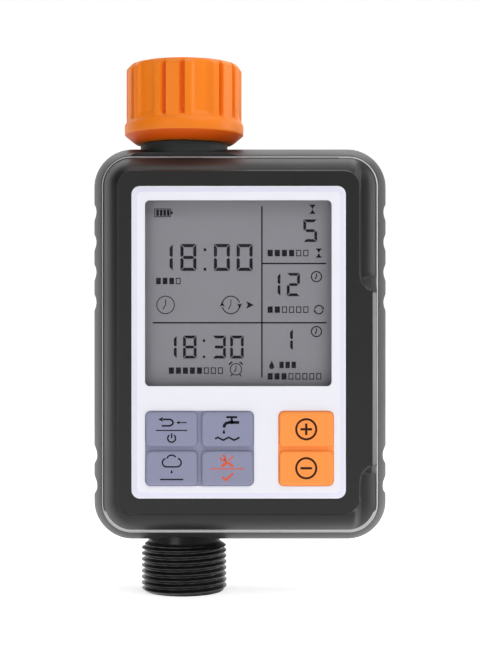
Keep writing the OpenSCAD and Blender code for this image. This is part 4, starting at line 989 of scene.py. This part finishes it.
def outlet():
    """Outlet spigot with its plug, flange and neck, and a helical male thread."""
    low, high, bore, top = OUTLET_LOW.z, OUTLET_HIGH.z, OUTLET_BORE_R, OUTLET_THREAD_TOP
    seal_z, flange_low = high - 5.0, FLANGE_TOP - FLANGE_THICK
    plain = [(bore, low + 0.5), (bore, high - 0.4), (bore + 0.3, high), (9.7, high), (PLUG_R, high - 0.4),
             (PLUG_R, seal_z), (SEAL_GROOVE_R, seal_z), (SEAL_GROOVE_R, seal_z - 2.2), (PLUG_R, seal_z - 2.2),
             (PLUG_R, FLANGE_TOP), (FLANGE_R, FLANGE_TOP), (FLANGE_R, flange_low), (SPIGOT_NECK_R, flange_low),
             (SPIGOT_NECK_R, top + 0.9), (SPIGOT_NECK_R + 0.25, top + 0.5)]
    rows = [(r, z, False) for r, z in plain]
    for i in range(OUTLET_THREAD_STEPS + 1):
        rows.append((0, top - (top - low) * i / OUTLET_THREAD_STEPS, True))
    rows += [(10.9, low, False), (bore + 0.5, low, False)]
    root_r, end_r, end_rise = ROOT_R - 0.1, 12.0, 1.3
    loops = []
    for k in range(OUTLET_STEPS):
        a = TAU * k / OUTLET_STEPS
        loop = []
        for radius, z, threaded in rows:
            if threaded:
                depth = thread_wave(z / PITCH - k / OUTLET_STEPS)
                near_end = min(clamp(z - low), clamp((top - z) / 0.9))
                radius = min(root_r + (CREST_R - root_r) * depth, end_r + end_rise * near_end)
            loop.append((radius * math.cos(a), radius * math.sin(a), z))
        loops.append(loop)
    make_piece("outlet_pipe", *loops_mesh(loops, closed_run=True), BLACK, slot="black_plastic",
               replaces=["outlet_spigot"], sharp_deg=40)


# ---------------------------------------------------------------- carried-over nodes

NODE_FINISH = {
    "case_seal": RUBBER, "case_screws": STEEL, "display_lens": LENS, "lcd_panel": LCD, "lcd_frame": WHITE,
    "zebra_strips": RUBBER, "main_board": BOARD, "board_components": BLACK, "board_screws": STEEL,
    "tact_switches": BLACK, "nut_retaining_ring": STEEL, "inlet_washer": RUBBER, "inlet_filter": MESH,
    "valve_body": BODY_BLACK, "outlet_o_ring": RUBBER, "valve_ball": CHROME, "upper_seat": NATURAL,
    "lower_seat": NATURAL, "valve_stem": STEEL, "stem_o_rings": RUBBER, "valve_screws": STEEL,
    "gearbox_base": NATURAL, "gearbox_cover": NATURAL, "gearbox_screws": STEEL, "output_gear": NATURAL,
    "second_gear": NATURAL, "first_gear": NATURAL, "gear_shafts": STEEL, "motor_pinion": BRASS,
    "motor_shaft": STEEL, "motor": STEEL, "limit_switches": BLACK, "battery_box": COVER_BACK,
    "batteries": CELL, "battery_springs": STEEL, "battery_plates": STEEL, "battery_cover": COVER_BACK,
    "battery_cover_seal": RUBBER, "motor_leads": RED_WIRE, "battery_leads": BLACK_WIRE,
}
# Nodes that show, with the width of their softened edges in millimetres
SOFTENED = {"battery_cover": 0.25, "valve_body": 0.2, "case_screws": 0.15}
WELD_REACH = 1e-6


def finish_nodes():
    """Gives every node that stays its material, and rounds the edges of those that show."""
    finishes = dict(NODE_FINISH)
    for name in KEY_NAMES:
        finishes["plunger_" + name] = BLACK
    for node, material in finishes.items():
        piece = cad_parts[node]
        for place in piece.material_slots:
            place.material = material
        if node in SOFTENED:
            weld = piece.modifiers.new("weld", "WELD")
            weld.merge_threshold = WELD_REACH
            bevel = piece.modifiers.new("soft_edges", "BEVEL")
            bevel.width = SOFTENED[node] * MM
            bevel.segments = 2
            bevel.limit_method = "ANGLE"
            bevel.angle_limit = math.radians(40)
            bevel.harden_normals = False


# ---------------------------------------------------------------- stage

# Soft lights, as name, place and size in metres, power in watts
LIGHTS = (
    ("key", (0.42, -0.62, 0.62), (0.5, 0.4), 3.9),
    ("fill", (-0.45, -0.85, 0.1), (0.4, 0.5), 1.2),
    ("rim_right", (0.74, 0.06, -0.05), (0.16, 1.1), 3.6),
    ("rim_left", (-0.52, 0.44, -0.05), (0.22, 1.1), 0.45),
    ("rim_top", (0.03, 0.46, 0.46), (0.9, 0.2), 1.0),
    ("overhead", (0.05, -0.05, 0.75), (1.0, 0.5), 3.2),
)
SURROUND, BACKGROUND_SEEN = 0.07, 0.95
PAPER_TONE, PAPER_GLOW = 0.8, 0.68


def flat_material(name, value, glow):
    material = bpy.data.materials.new(name)
    material.use_nodes = True
    shader = material.node_tree.nodes["Principled BSDF"]
    node_input(shader, "Base Color", (value, value, value, 1))
    node_input(shader, "Roughness", 0.9)
    node_input(shader, "Emission Color", (1, 1, 1, 1))
    node_input(shader, "Emission Strength", glow)
    return material


def backdrop():
    """Pale floor that sweeps up behind the object."""
    floor_z = cad_box[0].z
    half_w, front, back, height, sweep = 3.0, -2.5, 1.6, 3.0, 1.0
    rows = [(front, floor_z), (back - sweep, floor_z)]
    sweep_steps = 12
    for i in range(1, sweep_steps + 1):
        a = math.radians(90) * i / sweep_steps
        rows.append((back - sweep + sweep * math.sin(a), floor_z + sweep * (1 - math.cos(a))))
    rows.append((back, floor_z + height))
    points = [(x, y, z) for y, z in rows for x in (-half_w, half_w)]
    faces = [(2 * i, 2 * i + 1, 2 * i + 3, 2 * i + 2) for i in range(len(rows) - 1)]
    mesh = bpy.data.meshes.new("backdrop")
    mesh.from_pydata(points, [], faces)
    mesh.materials.append(flat_material("paper", PAPER_TONE, PAPER_GLOW))
    for face in mesh.polygons:
        face.use_smooth = True
    sheet = bpy.data.objects.new("backdrop", mesh)
    bpy.context.scene.collection.objects.link(sheet)


def soft_light(name, place, aim, size, power):
    data = bpy.data.lights.new(name, "AREA")
    data.shape = "RECTANGLE"
    data.size, data.size_y = size
    data.energy = power
    lamp = bpy.data.objects.new(name, data)
    lamp.location = place
    lamp.rotation_euler = (Vector(aim) - Vector(place)).to_track_quat("-Z", "Y").to_euler()
    bpy.context.scene.collection.objects.link(lamp)


def studio():
    """Soft lights, and a surround that is dim for the object and pale for the camera."""
    aim = (CASE_X * MM, 0, CASE_Z * MM)
    for name, place, size, power in LIGHTS:
        soft_light(name, place, aim, size, power)
    world = bpy.data.worlds.new("studio")
    world.use_nodes = True
    nodes, links = world.node_tree.nodes, world.node_tree.links
    surround = nodes["Background"]
    surround.inputs["Color"].default_value = (1, 1, 1, 1)
    surround.inputs["Strength"].default_value = SURROUND
    seen = nodes.new("ShaderNodeBackground")
    seen.inputs["Strength"].default_value = BACKGROUND_SEEN
    path = nodes.new("ShaderNodeLightPath")
    either = nodes.new("ShaderNodeMixShader")
    links.new(path.outputs["Is Camera Ray"], either.inputs["Fac"])
    links.new(surround.outputs["Background"], either.inputs[1])
    links.new(seen.outputs["Background"], either.inputs[2])
    links.new(either.outputs["Shader"], nodes["World Output"].inputs["Surface"])
    bpy.context.scene.world = world
    bpy.context.scene.view_settings.view_transform = "Standard"


CAMERA_DISTANCE = 0.460
CAMERA_HEIGHT = -0.0813
CAMERA_LENS = 81.1
CAMERA_SENSOR = 36


def camera():
    """Camera square on to the front, at about the height of the whole timer's middle."""
    data = bpy.data.cameras.new("camera")
    data.lens = CAMERA_LENS
    data.sensor_width = CAMERA_SENSOR
    data.clip_start = 0.01
    eye = bpy.data.objects.new("camera", data)
    eye.location = (CASE_X * MM, -CAMERA_DISTANCE, CAMERA_HEIGHT)
    eye.rotation_euler = (math.radians(90), 0, 0)
    bpy.context.scene.collection.objects.link(eye)
    bpy.context.scene.camera = eye


# ---------------------------------------------------------------- build

camera()
studio()
backdrop()
finish_nodes()
front_shell()
rear_shell()
faceplate()
key_mat("left", LEFT_KEYS, LILAC, "lilac_silicone")
key_mat("right", RIGHT_KEYS, ORANGE_SOFT, "orange_silicone")
for key in LEFT_KEYS:
    key_cap(key, LILAC, "lilac_silicone")
for key in RIGHT_KEYS:
    key_cap(key, ORANGE_SOFT, "orange_silicone")
display()
key_prints()
nut()
outlet()
